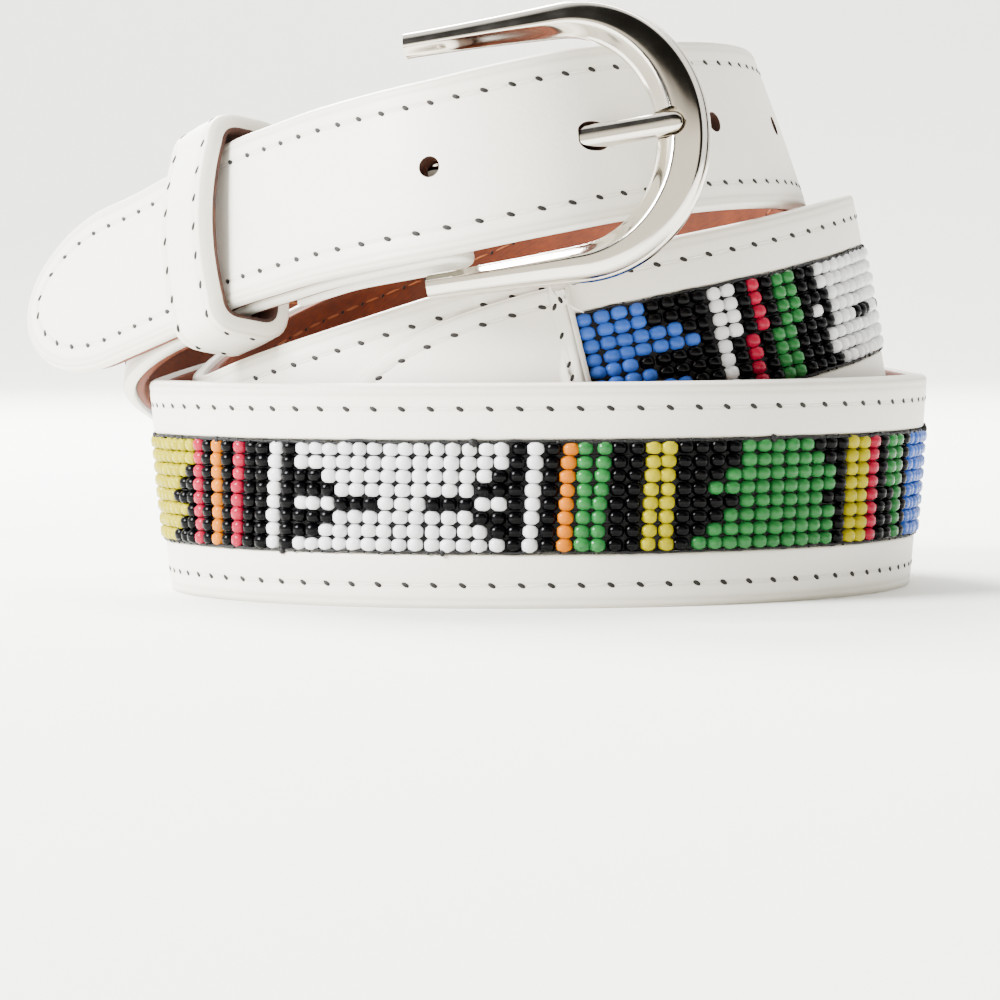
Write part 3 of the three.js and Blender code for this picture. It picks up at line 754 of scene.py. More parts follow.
@dataclass(frozen=True)
class StudioPaper(Finish):
    """Matte background paper, seamless, pale grey with a very fine tooth."""

    name: str = "seamless_paper"
    colour: str = "#E8E8E3"
    tooth_mm: float = 1.5

    def build(self) -> bpy.types.Material:
        """Build the paper's material.

        Returns:
            The material.
        """
        material, tree, shader = self.start(Roughness=0.95)
        coords = add(tree, "ShaderNodeTexCoord").outputs["Object"]
        tooth = add(tree, "ShaderNodeTexNoise", {"Vector": coords, "Scale": per_mm(self.tooth_mm)})
        tone = add(tree, "ShaderNodeMapRange", {"Value": tooth.outputs["Fac"], "To Min": 0.985,
                                                "To Max": 1.0})
        hue = add(tree, "ShaderNodeHueSaturation", {"Color": linear(self.colour),
                                                    "Value": tone.outputs[0]})
        tree.links.new(hue.outputs[0], shader.inputs["Base Color"])
        return material


class Slot(Enum):
    """The record's material slots."""

    LEATHER = "white_leather"
    LINING = "tan_lining"
    BEADS = "glass_beads"
    NICKEL = "nickel"


def piece_from(bm: bmesh.types.BMesh, name: str, materials: list[bpy.types.Material],
               replaces: tuple[str, ...] = ()) -> bpy.types.Object:
    """Make a finished piece of the belt from a bmesh, which is used up.

    Args:
        bm: The shape, in metres, in the CAD model's frame.
        name: The piece's name.
        materials: Its materials, in the order of the faces' material numbers.
        replaces: The CAD nodes that it stands for.

    Returns:
        The object.
    """
    for face in bm.faces:
        face.smooth = True
    mesh = bpy.data.meshes.new(name)
    bm.to_mesh(mesh)
    bm.free()
    for material in materials:
        mesh.materials.append(material)
    made = bpy.data.objects.new(name, mesh)
    bpy.context.scene.collection.objects.link(made)
    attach(made, "root")
    if replaces:
        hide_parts(*replaces)
    LOG.info("%s: %d faces", name, len(mesh.polygons))
    return made


def lofted(points: np.ndarray, flat: np.ndarray, painted_shade_share: np.ndarray | None = None) -> bmesh.types.BMesh:
    """Shape a grid into a skin of rings, close its seams and fill its open ends.

    Args:
        points: Rings of points in metres, as an array of rings, points a ring and 3.
        flat: The same places on the flat leather in millimetres, for the UV map.
        painted_shade_share: How much painted shade each place gets in the leather's creases and grooves,
            from 0 to 1.

    Returns:
        The closed skin, with its faces outwards.
    """
    rings, count = points.shape[:2]
    bm = bmesh.new()
    uv = bm.loops.layers.uv.new("flat")
    # painted shade in creases and grooves, kept for the leather's material
    crease_shade = bm.verts.layers.float.new("painted_shade_share")
    bmesh.ops.create_grid(bm, x_segments=count - 1, y_segments=rings - 1, size=0.5)
    places = points.reshape(-1, 3)
    spread = flat.reshape(-1, 2) * MM
    depth = np.zeros(len(places)) if painted_shade_share is None else painted_shade_share.reshape(-1)
    for vert in bm.verts:
        vert.co = places[vert.index]
        vert[crease_shade] = depth[vert.index]
    for face in bm.faces:
        for loop in face.loops:
            loop[uv].uv = spread[loop.vert.index]
    bmesh.ops.remove_doubles(bm, verts=bm.verts, dist=1e-6)
    bmesh.ops.holes_fill(bm, edges=[edge for edge in bm.edges if edge.is_boundary], sides=0)
    bmesh.ops.recalc_face_normals(bm, faces=bm.faces)
    return bm


def repeated(template: bmesh.types.BMesh, places: np.ndarray, sizes: np.ndarray, turns: np.ndarray,
             lay: Lay = laid, tones: np.ndarray | None = None) -> bmesh.types.BMesh:
    """Copy a small shape many times on the flat strap and lay all copies along it.

    Args:
        template: The shape, about its own middle; it is used up.
        places: Rows of length, across and lift for the copies' middles.
        sizes: Rows of scales along, across and up.
        turns: Angles in the strap's face, in radians.
        lay: How flat points become points of the frame.
        tones: One shade for each copy, kept as the attribute tone.

    Returns:
        All copies in one bmesh.
    """
    mesh = bpy.data.meshes.new("template")
    template.to_mesh(mesh)
    template.free()
    shape = np.array([vert.co[:] for vert in mesh.vertices])
    bm = bmesh.new()
    tone = bm.verts.layers.float.new("tone")
    for _ in range(len(places)):
        bm.from_mesh(mesh)
    bpy.data.meshes.remove(mesh)
    local = shape[None] * sizes[:, None]
    cos, sin = np.cos(turns)[:, None], np.sin(turns)[:, None]
    turned = np.stack([local[..., 0] * cos - local[..., 1] * sin,
                       local[..., 0] * sin + local[..., 1] * cos, local[..., 2]], axis=-1)
    points = lay((turned + places[:, None]).reshape(-1, 3))
    shades = np.zeros(len(places)) if tones is None else tones
    for i, vert in enumerate(bm.verts):
        vert.co = points[i]
        vert[tone] = shades[i // len(shape)]
    return bm


# The flat outline of a strap or tab and what follows it


@dataclass
class Outline:
    """Half the flat outline of a piece of leather, from its point to its other end.

    The other half mirrors it about the strap's middle.
    """

    at: np.ndarray
    half: np.ndarray
    ahead: int = 1  # -1 where the piece reaches back towards the belt's tip

    def __post_init__(self) -> None:
        """Work out the direction that points into the leather at each place."""
        step_at, step_half = np.gradient(self.at), np.gradient(self.half)
        length = np.hypot(step_at, step_half)
        self.inward = self.ahead * np.column_stack([step_half, -step_at]) / length[:, None]

    def inset(self, distance: float) -> np.ndarray:
        """Move the outline inwards.

        Args:
            distance: How far.

        Returns:
            Rows of length and across.
        """
        moved = np.column_stack([self.at, self.half]) + self.inward * distance
        moved[:, 1] = np.maximum(moved[:, 1], 0)
        return moved

    def skin(self, profile: "Profile") -> tuple[np.ndarray, np.ndarray]:
        """Give the flat rings of a piece of leather with this outline.

        Args:
            profile: Its section.

        Returns:
            Flat points as an array of rings, points and 3, and each one's share of painted shade from 0
            to 1.
        """
        sides = [np.column_stack([self.inset(inset), np.full(len(self.at), lift)])
                 for inset, lift in profile.edge]
        inner = self.inset(profile.edge[-1][0])
        middle = []
        for share, lift in profile.middle:
            rest = inner * (1, 1 - share)
            middle.append(np.column_stack([rest, np.full(len(self.at), lift)]))
        half = np.stack(sides + middle, axis=1)
        other = half[:, ::-1].copy()
        other[..., 1] *= -1
        rings = np.concatenate([half, other[:, 1:], half[:, :1]], axis=1)
        # Painted shade: points a little below the face, in creases, grooves and where the edge starts to
        # round, get a greyer colour; deeper ones get none
        sunk = profile.face - rings[..., 2]
        return rings, np.where(sunk < 2 * profile.crease_shade, np.clip(sunk / profile.crease_shade, 0, 1), 0)

    def row(self, inset: float, pitch: float, start: float = 0, end: float | None = None) -> np.ndarray:
        """Space places evenly along a line inside the outline.

        Args:
            inset: How far inside.
            pitch: Their spacing.
            start: How far along the line the first is.
            end: How far short of the line's end the last may be.

        Returns:
            Rows of length, across and the line's direction in radians.
        """
        line = self.inset(inset)
        steps = np.diff(line, axis=0)
        travelled = np.concatenate([[0], np.cumsum(np.hypot(*steps.T))])
        count = int((travelled[-1] - start - (end or 0)) / pitch) + 1
        wanted = start + pitch * np.arange(count)
        at = np.interp(wanted, travelled, line[:, 0])
        across = np.interp(wanted, travelled, line[:, 1])
        heading = np.interp(wanted, travelled, np.arctan2(*np.gradient(line, axis=0).T[::-1]))
        return np.column_stack([at, across, heading])


@dataclass(frozen=True)
class Profile:
    """A leather's section: from the underside round its edge, then on to its middle."""

    edge: tuple[tuple[float, float], ...]
    middle: tuple[tuple[float, float], ...]
    face: float = 0.0
    crease_shade: float = 0.16  # depth below its face at which its creases get their full painted shade


TURNED_EDGE = (
    (4.0, -2.0), (0.15, -2.0), (0.0, -1.85), (0.0, -1.05), (0.08, -0.66), (0.28, -0.34), (0.6, -0.14),
    (1.0, -0.06), (1.3, -0.06), (1.55, -0.1), (1.8, -0.06), (2.2, -0.01), (3.1, -0.01),
    (3.4, -0.05), (3.7, -0.12), (4.0, -0.05), (4.3, -0.01),
)
STITCH_LIFT = -0.12
STRAP_PROFILE = Profile(TURNED_EDGE, ((0.3, 0.05), (0.65, 0.09), (1.0, 0.1)))
BEAD_LIP = ((7.0, 0.0), (7.7, -0.01), (7.95, -0.05), (8.12, -0.16), (8.2, -0.35), (8.2, -1.3))
BEAD_STRAP_PROFILE = Profile(TURNED_EDGE + BEAD_LIP, ((1.0, -1.3),))
TAB_PROFILE = Profile(
    ((2.5, 0.3), (0.1, 0.3), (0.0, 0.4), (0.0, 0.9), (0.1, 1.2), (0.34, 1.39), (0.7, 1.47),
     (1.1, 1.49), (2.1, 1.49), (2.35, 1.45), (2.6, 1.38), (2.85, 1.45), (3.1, 1.49)),
    ((0.5, 1.5), (1.0, 1.5)), face=1.5, crease_shade=0.12)
LINING_PROFILE = Profile(
    ((2.0, -3.5), (0.25, -3.5), (0.06, -3.4), (0.0, -3.2), (0.0, -2.5), (0.1, -2.32), (0.3, -2.3)),
    ((1.0, -2.3),))


def evenly(start: float, end: float, step: float, fine_start: bool = False) -> np.ndarray:
    """Space places evenly, with closer ones at a rounded start if asked.

    Args:
        start: First place.
        end: Last place.
        step: About how far apart.
        fine_start: Whether the first stretch rounds a tip.

    Returns:
        The places.
    """
    close = np.array([0, 0.04, 0.12, 0.25, 0.45, 0.7, 1.0, 1.4, 1.9, 2.5, 3.3, 4.3, 5.5, 7.0, 8.5])
    head = start + close if fine_start else np.array([start])
    rest = np.linspace(head[-1], end, max(2, round((end - head[-1]) / step) + 1))
    return np.concatenate([head, rest[1:]])


def capsule(segments: int, rings: int, squareness: float = 2.0) -> bmesh.types.BMesh:
    """Make a unit ball, or a rounder-cornered barrel, with its axis across the strap.

    Args:
        segments: Faces round the axis.
        rings: Faces along it.
        squareness: 2 for a ball, more for a barrel.

    Returns:
        The shape.
    """
    bm = bmesh.new()
    bmesh.ops.create_uvsphere(bm, u_segments=segments, v_segments=rings, radius=1)
    bmesh.ops.rotate(bm, verts=bm.verts, matrix=Matrix.Rotation(math.pi / 2, 3, "X"))
    for vert in bm.verts:
        round_part = math.hypot(vert.co.x, vert.co.z)
        length = (round_part**squareness + abs(vert.co.y)**squareness) ** (1 / squareness)
        vert.co /= length
    return bm


@dataclass
class Stitching:
    """Rows of lock stitches: a sunk thread, and at each hole a small, slanted, flattened dark mark that
    paints the shade inside the hole.
    """

    thread: bpy.types.Material
    # the dark finish of the stitch-hole marks, which is painted shade
    hole_shade: bpy.types.Material
    thread_half_mm: tuple[float, float, float] = (1.7, 0.22, 0.16)
    slit_half_mm: tuple[float, float, float] = (0.74, 0.36, 0.17)
    slant: float = math.radians(-33)

    def sew(self, name: str, places: np.ndarray, lift: float, lay: Lay = laid) -> None:
        """Make the threads of some rows, and the dark marks of painted shade at their stitch holes.

        Args:
            name: Start of the two pieces' names.
            places: Rows of length, across and heading; each is the stitch hole before its thread.
            lift: Height of the leather where they are sewn.
            lay: How flat points become points of the frame.
        """
        count = len(places)
        heading = places[:, 2]
        half_pitch = STITCH_PITCH / 2
        middles = np.column_stack([places[:, 0] + half_pitch * np.cos(heading),
                                   places[:, 1] + half_pitch * np.sin(heading),
                                   np.full(count, lift - 0.06 * np.sign(lift + 2))])
        threads = repeated(capsule(8, 6), middles, np.tile(self.thread_half_mm, (count, 1)), heading, lay)
        piece_from(threads, f"{name}_thread", [self.thread])
        # A dark capsule at each stitch hole: painted shade inside the hole
        hole_shades = np.column_stack([places[:, :2], np.full(count, lift + 0.02 * np.sign(lift + 2))])
        holes = repeated(capsule(8, 6), hole_shades, np.tile(self.slit_half_mm, (count, 1)),
                         heading + self.slant, lay)
        piece_from(holes, f"{name}_slits", [self.hole_shade])


def both_sides(row: np.ndarray) -> np.ndarray:
    """Add the mirror image of a stitch row on the strap's other side."""
    return np.vstack([row, row * (1, -1, -1)])


# The leather


@dataclass
class Straps:
    """The three runs of white face leather, the tan lining under them and their stitching."""

    leather: bpy.types.Material
    lining: bpy.types.Material
    # the cut fibres' own brown, darkened further by painted shade of the holes' depth
    shaded_hole_edge: bpy.types.Material
    stitching: Stitching
    back_stitching: Stitching
    ring_step_mm: float = 2.0

    def leather_run(self, name: str, outline: Outline, profile: Profile, lay: Lay = laid,
                    cutters: bmesh.types.BMesh | None = None) -> None:
        """Make one run of face leather.

        Args:
            name: The CAD node that it replaces.
            outline: Its flat outline.
            profile: Its section.
            lay: How flat points become points of the frame.
            cutters: What is punched out of it, if anything; it is used up.
        """
        flat, crease_shade = outline.skin(profile)
        self.finish_run(name, flat, crease_shade, lay, cutters, [self.leather, self.shaded_hole_edge])

    def finish_run(self, name: str, flat: np.ndarray, crease_shade: np.ndarray, lay: Lay,
                   cutters: bmesh.types.BMesh | None, materials: list[bpy.types.Material]) -> None:
        """Lay one run of leather, punch it and keep it.

        Args:
            name: The CAD node that it replaces.
            flat: Its flat rings.
            crease_shade: How much painted shade each point gets in the leather's creases and grooves.
            lay: How flat points become points of the frame.
            cutters: What is punched out of it, if anything.
            materials: The leather's material and the punched edges'.
        """
        points = lay(flat.reshape(-1, 3).copy()).reshape(flat.shape)
        girth = np.zeros(flat.shape[:2])
        girth[:, 1:] = np.cumsum(np.linalg.norm(np.diff(flat[..., 1:], axis=1), axis=2), axis=1)
        skin = lofted(points, np.stack([flat[..., 0], girth], axis=-1), crease_shade)
        run = piece_from(skin, f"{name}_skin", materials, (name,))
        if cutters is not None:
            punch(run, cutters, materials)

    def build(self) -> None:
        """Make the runs, the lining and all stitches."""
        billet_end = BEADS_START - TAB_COVER
        billet_at = evenly(0, billet_end + LAYER_GAP - SEAM, self.ring_step_mm, fine_start=True)
        billet = Outline(billet_at, strap_half(billet_at))
        self.leather_run("billet_strap", billet, STRAP_PROFILE, cutters=hole_cutters())
        bead_at = evenly(billet_end + LAYER_GAP, BEADS_END + TAB_COVER - SEAM, self.ring_step_mm)
        beads = Outline(bead_at, strap_half(bead_at))
        self.leather_run("bead_strap", beads, BEAD_STRAP_PROFILE)
        end_start = BEADS_END + TAB_COVER
        run_out = BAR_AT - FOLD_START
        end_at = np.concatenate([
            evenly(end_start, run_out, self.ring_step_mm)[:-1],
            evenly(run_out, run_out + FOLD_ARC, 0.5)[:-1],
            evenly(run_out + FOLD_ARC, run_out + FOLD_ARC + FOLD_RETURN, 1.5),
        ])
        end = Outline(end_at, strap_half(end_at))
        self.leather_run("buckle_strap", end, STRAP_PROFILE, laid_and_folded, slot_cutter())
        lining_at = evenly(0, BAR_AT - LINING_STOP - LINING_INSET, self.ring_step_mm, fine_start=True)
        lining_half = np.maximum(strap_half(lining_at + 0.01) - LINING_INSET, 0) * np.sign(lining_at)
        lining = Outline(lining_at + LINING_INSET, lining_half)
        flat, crease_shade = lining.skin(LINING_PROFILE)
        self.finish_run("strap_lining", flat, crease_shade, laid, hole_cutters(),
                        [self.lining, self.shaded_hole_edge])
        self.sew_straps(billet, beads, end)

    def sew_straps(self, billet: Outline, beads: Outline, end: Outline) -> None:
        """Sew both edges of the whole strap, on its face and through its lining.

        Args:
            billet: The billet strap's outline.
            beads: The bead strap's outline.
            end: The buckle strap's outline, which is sewn up to a little before the bar.
        """
        to_bar = end.at < BAR_AT - SEWN_TO_BAR
        runs = (billet, beads, Outline(end.at[to_bar], end.half[to_bar]))
        places = np.vstack([both_sides(run.row(STITCH_INSET, STITCH_PITCH, FIRST_STITCH, LAST_STITCH))
                            for run in runs])
        self.stitching.sew("strap_face", places, STITCH_LIFT)
        self.back_stitching.sew("strap_back", places, -STRAP_THICKNESS)


def punch(run: bpy.types.Object, cutters: bmesh.types.BMesh, materials: list[bpy.types.Material]) -> None:
    """Cut holes out of a finished piece.

    Args:
        run: The piece.
        cutters: The solids to take away; they are used up.
        materials: The piece's materials; the cut faces get the second.
    """
    for face in cutters.faces:
        face.material_index = 1
        face.smooth = True
    mesh = bpy.data.meshes.new("cutters")
    cutters.to_mesh(mesh)
    cutters.free()
    for material in materials:
        mesh.materials.append(material)
    tool = bpy.data.objects.new("cutters", mesh)
    bpy.context.scene.collection.objects.link(tool)
    cut = run.modifiers.new("punch", "BOOLEAN")
    cut.operation = "DIFFERENCE"
    cut.solver = "EXACT"
    cut.object = tool
    bpy.context.view_layer.update()
    holed = bpy.data.meshes.new_from_object(run.evaluated_get(bpy.context.evaluated_depsgraph_get()))
    run.modifiers.clear()
    old, run.data = run.data, holed
    name = old.name
    bpy.data.meshes.remove(old)
    holed.name = name
    holed.set_sharp_from_angle(angle=math.radians(SHARP_DEG))
    bpy.data.objects.remove(tool)
    bpy.data.meshes.remove(mesh)
    LOG.info("%s after punching: %d faces", run.name, len(holed.polygons))


def placed(bm: bmesh.types.BMesh, verts: list, places: Places) -> None:
    """Move a shape from its own axes, along, across and out in millimetres, to a place.

    Args:
        bm: The mesh that holds the shape.
        verts: The shape's vertices.
        places: Where it goes, as one place.
    """
    basis = np.column_stack([places.along[0], places.up[0], places.out[0]])
    matrix = Matrix(basis.tolist()).to_4x4()
    matrix.translation = places.origin[0] + OFFSET
    bmesh.ops.transform(bm, matrix=Matrix.Scale(MM, 4) @ matrix, verts=verts)


def hole_cutters() -> bmesh.types.BMesh:
    """Make the punch for the billet's round holes and the slanted one for the prong's hole.

    Returns:
        All punches in one mesh.
    """
    bm = bmesh.new()
    for i in range(HOLE_COUNT):
        if i == PRONG_HOLE:
            continue
        rod = bmesh.ops.create_cone(bm, cap_ends=True, segments=28, radius1=HOLE_DIAMETER / 2,
                                    radius2=HOLE_DIAMETER / 2, depth=4 * STRAP_THICKNESS)
        placed(bm, rod["verts"], TRACK.at(FIRST_HOLE + i * HOLE_PITCH))
    slot = bmesh.ops.create_cube(bm, size=1)
    half, tall = PRONG_WIDTH / 2 + FIT_GAP, PRONG_THICKNESS / 2 + FIT_GAP
    bmesh.ops.scale(bm, vec=(BUCKLE_LENGTH, 2 * half, 2 * tall), verts=slot["verts"])
    bmesh.ops.translate(bm, vec=(BUCKLE_LENGTH / 2, 0, 0), verts=slot["verts"])
    long_edges = [edge for vert in slot["verts"] for edge in vert.link_edges
                  if abs(edge.verts[0].co.x - edge.verts[1].co.x) > 1]
    rounded = bmesh.ops.bevel(bm, geom=list(set(long_edges)), offset=0.9 * tall, segments=6,
                              profile=0.5, affect="EDGES", material=-1)
    verts = set(rounded["verts"]) | {v for v in slot["verts"] if v.is_valid}
    placed(bm, list(verts), prong_places())
    return bm


def slot_cutter() -> bmesh.types.BMesh:
    """Make the cutter of the slot in the fold, which the prong's eye stands in.

    Returns:
        The cutter.
    """
    bm = bmesh.new()
    slot = bmesh.ops.create_cube(bm, size=1)
    size = (2 * FOLD_SLOT_LENGTH, PRONG_WIDTH + 2 * FIT_GAP, 6 * FOLD_OUTER)
    bmesh.ops.scale(bm, vec=size, verts=slot["verts"])
    at_bar = TRACK.at(BAR_AT)
    middle = Places(at_bar.points(BUCKLE_RISE, -FOLD_OUTER), at_bar.along, at_bar.up, at_bar.out)
    placed(bm, slot["verts"], middle)
    return bm


@dataclass
class Tabs:
    """The two tabs that cover the ends of the beads, each sewn round its edge."""

    leather: bpy.types.Material
    stitching: Stitching
    rows: int = 40

    def outline(self, edge: float, away: int) -> Outline:
        """Draw a tab's outline from its straight edge at the beads to its blunt point.

        Args:
            edge: Where its straight edge lies along the belt.
            away: 1 if it points on along the belt, -1 if back.

        Returns:
            The outline.
        """
        share = np.linspace(0, 1, self.rows)
        half = TAB_WIDTH / 2 * (1 - TAB_POINT * share**TAB_FULLNESS)
        at = edge + away * TAB_LENGTH * np.sin(share * np.pi / 2)
        straight = np.linspace(0, 0.95, 12) * TAB_WIDTH / 2
        corner_at = edge + away * np.array([0.0, 0.15, 0.5])
        corner_half = TAB_WIDTH / 2 - np.array([0.5, 0.15, 0.0])
        return Outline(np.concatenate([np.full(12, edge), corner_at, at[1:]]),
                       np.concatenate([straight, corner_half, half[1:]]), away)

    def build(self) -> None:
        """Make both tabs and their stitches."""
        for name, edge, away in (("billet_tab", BEADS_START, -1), ("buckle_tab", BEADS_END, 1)):
            outline = self.outline(edge, away)
            flat, crease_shade = outline.skin(TAB_PROFILE)
            points = laid(flat.reshape(-1, 3).copy()).reshape(flat.shape)
            piece_from(lofted(points, flat[..., :2], crease_shade), f"{name}_skin", [self.leather],
                       (name,))
            line = outline.row(TAB_STITCH_INSET, STITCH_PITCH, 1.0, 2.0)
            self.stitching.sew(name, both_sides(line), TAB_PROFILE.edge[10][1])


# The keeper


@dataclass
class Keeper:
    """The leather loop round the billet and the strap below it, with two rows of stitches."""

    leather: bpy.types.Material
    # given the dark punched-edge finish, so that the real lining also paints the shade inside the loop
    lining: bpy.types.Material
    stitching: Stitching
    lining_mm: float = 0.45
    lining_proud_mm: float = 0.1
    corner_steps: int = 8
    face_steps: int = 24

    def loop(self, grow: float) -> np.ndarray:
        """Give the loop's section as rows of across and lift.

        Args:
            grow: Distance outside the opening.

        Returns:
            A closed line, with its first point repeated at its end.
        """
        half = END_WIDTH / 2 + KEEPER_EDGE_ROOM + grow
        near = KEEPER_FACE_ROOM + grow
        far = -(LAID_ON + STRAP_THICKNESS + KEEPER_BACK_ROOM) - grow
        bend = KEEPER_ROUND + grow
        shoulder, brow = near + 0.15 * KEEPER_CROWN, near + 1.85 * KEEPER_CROWN
        flat = 6
        parts = [
            np.linspace((-half + bend, far), (half - bend, far), self.face_steps),
            bow((half - bend, far), (half, far), (half, far + bend), self.corner_steps),
            np.linspace((half, far + bend), (half, near - bend), flat),
            bow((half, near - bend), (half, near), (half - bend, shoulder), self.corner_steps),
            bow((half - bend, shoulder), (0, brow), (-half + bend, shoulder), self.face_steps),
            bow((-half + bend, shoulder), (-half, near), (-half, near - bend), self.corner_steps),
            np.linspace((-half, near - bend), (-half, far + bend), flat),
            bow((-half, far + bend), (-half, far), (-half + bend, far), self.corner_steps),
        ]
        return np.vstack([part[:-1] for part in parts] + [parts[0][:1]])

    def build(self) -> None:
        """Make the loop and sew it."""
        wide = KEEPER_WIDTH / 2
        # Across the loop's wall: place along the belt, and share of the wall from its inside.
        wall = np.array([
            (0, 0), (wide - 0.3, 0), (wide, 0.12), (wide, 0.55), (wide - 0.1, 0.78),
            (wide - 0.34, 0.92), (wide - 0.75, 0.98), (wide - 1.3, 0.985), (wide - 1.7, 0.96),
            (wide - 2.1, 0.985), (wide - 2.8, 1.0), (0, 1.02),
        ])
        other = wall[::-1] * (-1, 1)
        wall = np.vstack([wall, other[1:]])
        inner, outer = self.loop(0), self.loop(KEEPER_WALL)
        rings = inner[:, None] + (outer - inner)[:, None] * wall[None, :, 1:]
        ahead = np.broadcast_to(wall[:, 0], rings.shape[:2])
        points = self.stand(rings, ahead)
        girth = np.concatenate([[0], np.cumsum(np.linalg.norm(np.diff(outer, axis=0), axis=1))])
        flat = np.stack([ahead, np.broadcast_to(girth[:, None], ahead.shape)], axis=-1)
        # Painted shade: the outer face is painted greyer where it falls away, on each edge's rounding and
        # in each stitch groove
        painted_shade_share = np.broadcast_to(np.clip((1 - wall[:, 1]) / 0.06, 0, 1) * (wall[:, 1] > 0.9), ahead.shape)
        piece_from(lofted(points, flat, painted_shade_share), "keeper_skin", [self.leather], ("keeper",))
        self.sew(outer, girth)
        self.line_inside()

    def line_inside(self) -> None:
        """Line the loop with leather in the darker punched-edge tone: a real lining, drawn darker as
        painted shade inside the loop, which shows as a thin dark line round its opening.
        """
        edge = KEEPER_WIDTH / 2 + 0.03
        inside, outside = self.loop(-self.lining_proud_mm), self.loop(self.lining_mm)
        section = np.array([(-edge, 0), (edge, 0), (edge, 1), (-edge, 1), (-edge, 0)])
        rings = inside[:, None] + (outside - inside)[:, None] * section[None, :, 1:]
        ahead = np.broadcast_to(section[:, 0], rings.shape[:2])
        points = self.stand(rings, ahead)
        piece_from(lofted(points, rings), "keeper_lining", [self.lining])

    def stand(self, rings: np.ndarray, ahead: np.ndarray) -> np.ndarray:
        """Put points of the keeper's own frame on the belt.

        Args:
            rings: Across and lift of each point.
            ahead: Distance of each along the belt from the keeper's middle.

        Returns:
            The points in metres, in the CAD model's frame.
        """
        count = ahead.size
        at = TRACK.at(np.full(count, KEEPER_FROM_TIP))
        flat = rings.reshape(count, 2)
        return in_frame(at.points(flat[:, 0], flat[:, 1], ahead.reshape(count))).reshape(*ahead.shape, 3)

    def sew(self, outer: np.ndarray, girth: np.ndarray) -> None:
        """Sew a row of stitches along each of the keeper's edges.

        Args:
            outer: The loop's outer line, as rows of across and lift.
            girth: Distance round the loop at each of its points.
        """
        count = int(girth[-1] / STITCH_PITCH)
        pitch = girth[-1] / count
        for side, name in ((1, "near"), (-1, "far")):
            row = np.column_stack([pitch * np.arange(count), np.full(count, side * (
                KEEPER_WIDTH / 2 - KEEPER_STITCH_INSET)), np.zeros(count)])

            def wrap(flat: np.ndarray) -> np.ndarray:
                """Carry flat points round the loop's outer face.

                Args:
                    flat: Rows of distance round the loop, along the belt and above the face.

                Returns:
                    The points in metres, in the CAD model's frame.
                """
                place = np.mod(flat[:, 0], girth[-1])
                line = np.column_stack([np.interp(place, girth, outer[:, i]) for i in (0, 1)])
                ahead_of = np.mod(place + 0.2, girth[-1])
                step = np.column_stack([np.interp(ahead_of, girth, outer[:, i]) for i in (0, 1)]) - line
                step /= np.linalg.norm(step, axis=1)[:, None]
                normal = np.column_stack([step[:, 1], -step[:, 0]])
                lifted = line + normal * flat[:, 2:]
                return self.stand(lifted[:, None], flat[:, 1:2]).reshape(-1, 3)

            self.stitching.sew(f"keeper_{name}", row, -0.1, wrap)


def bow(start: tuple[float, float], handle: tuple[float, float], end: tuple[float, float],
        steps: int) -> np.ndarray:
    """Give points on a quadratic curve.

    Args:
        start: Its first point.
        handle: The point that it leans towards.
        end: Its last point.
        steps: How many points.

    Returns:
        The points, one row each.
    """
    share = np.linspace(0, 1, steps)[:, None]
    a, b, c = (np.array(point, float) for point in (start, handle, end))
    return (1 - share) ** 2 * a + 2 * share * (1 - share) * b + share**2 * c


# The beads


class Bead(Enum):
    """The seed beads' glasses, by their letter in the charts."""

    WHITE = ("W", OpaqueGlass("white_bead_glass", "#D6D6D8", gloss=0.3))
    BLACK = ("K", OpaqueGlass("black_bead_glass", "#020203", gloss=0.08))
    YELLOW = ("Y", OpaqueGlass("yellow_bead_glass", "#9A9000", gloss=0.1))
    RED = ("R", OpaqueGlass("red_bead_glass", "#94102E", gloss=0.15))
    ORANGE = ("O", OpaqueGlass("orange_bead_glass", "#B46400", gloss=0.1))
    GREEN = ("G", OpaqueGlass("green_bead_glass", "#236530", gloss=0.2))
    BLUE = ("B", OpaqueGlass("blue_bead_glass", "#2C54A6", gloss=0.2))


# Each chart is a stretch of the band, eight rows from its upper edge down, one letter a bead.
ARROW_ON_WHITE = (
    "WWWWWWWWWWWWWW",
    "WWWWWWWWWWWWWW",
    "KKWWWWWWWWWWWK",
    "KKKWWWWWWWWWKK",
    "WWWKKKWWWKKKWW",
    "KKKWWWWWWWWWKK",
    "KKWWWWWWWWWWWK",
    "WWWWWWWWWWWWWW",
)
BLUE_STEPS = (
    "BBBBKKKK",
    "BBBBKKKK",
    "BBBBBBKK",
    "BBBBBBBK",
    "BBBKKKKK",
    "BBBBKKKK",
    "BBBBBBKK",
    "BBBBBBBK",
)
WHITE_STEPS = (
    "KWWWWWWWWWWWWWW",
    "KWWWWWWWWWWWWWW",
    "KKWWWWWWWWWWWWK",
    "WKWWWWWWWWWWWKK",
    "KKWWWKKKWWWKKKW",
    "KWWWWWWWWWWWWKK",
    "KWWWWWWWWWWWWWK",
    "KKWWWWWWWWWWWWW",
)
YELLOW_STEPS = (
    "YYYYYYYYYYYY",
    "YYYYYYYYYYYY",
    "YYYYYYYYYYYK",
    "YYYYYYYYYYKK",
    "YYYYYYYYYKKK",
    "YYYYYYYYYYYK",
    "YYYYYYYYYYKK",
    "YYYYYYYYYKKK",
)
GREEN_TREE = (
    "KKKKGGGGGKKK",
    "KKKKGGGGGGKK",
    "KKKGGGGGGGGK",
    "KKGGGGGGGGGK",
    "KKKKGGGGGGKK",
    "KKKGGGGGGGGK",
    "KKGGGGGGGGGK",
    "KGGGGGGGGGGK",
)
PAIRED_STRIPES = ("WWKRKGGK",) * 4 + ("WKRKGGKK",) * 4
LEFT_STRIPES = ("RKOKRKKWK",) * 8
RIGHT_STRIPES = ("KWKOGGKKYY",) * 8
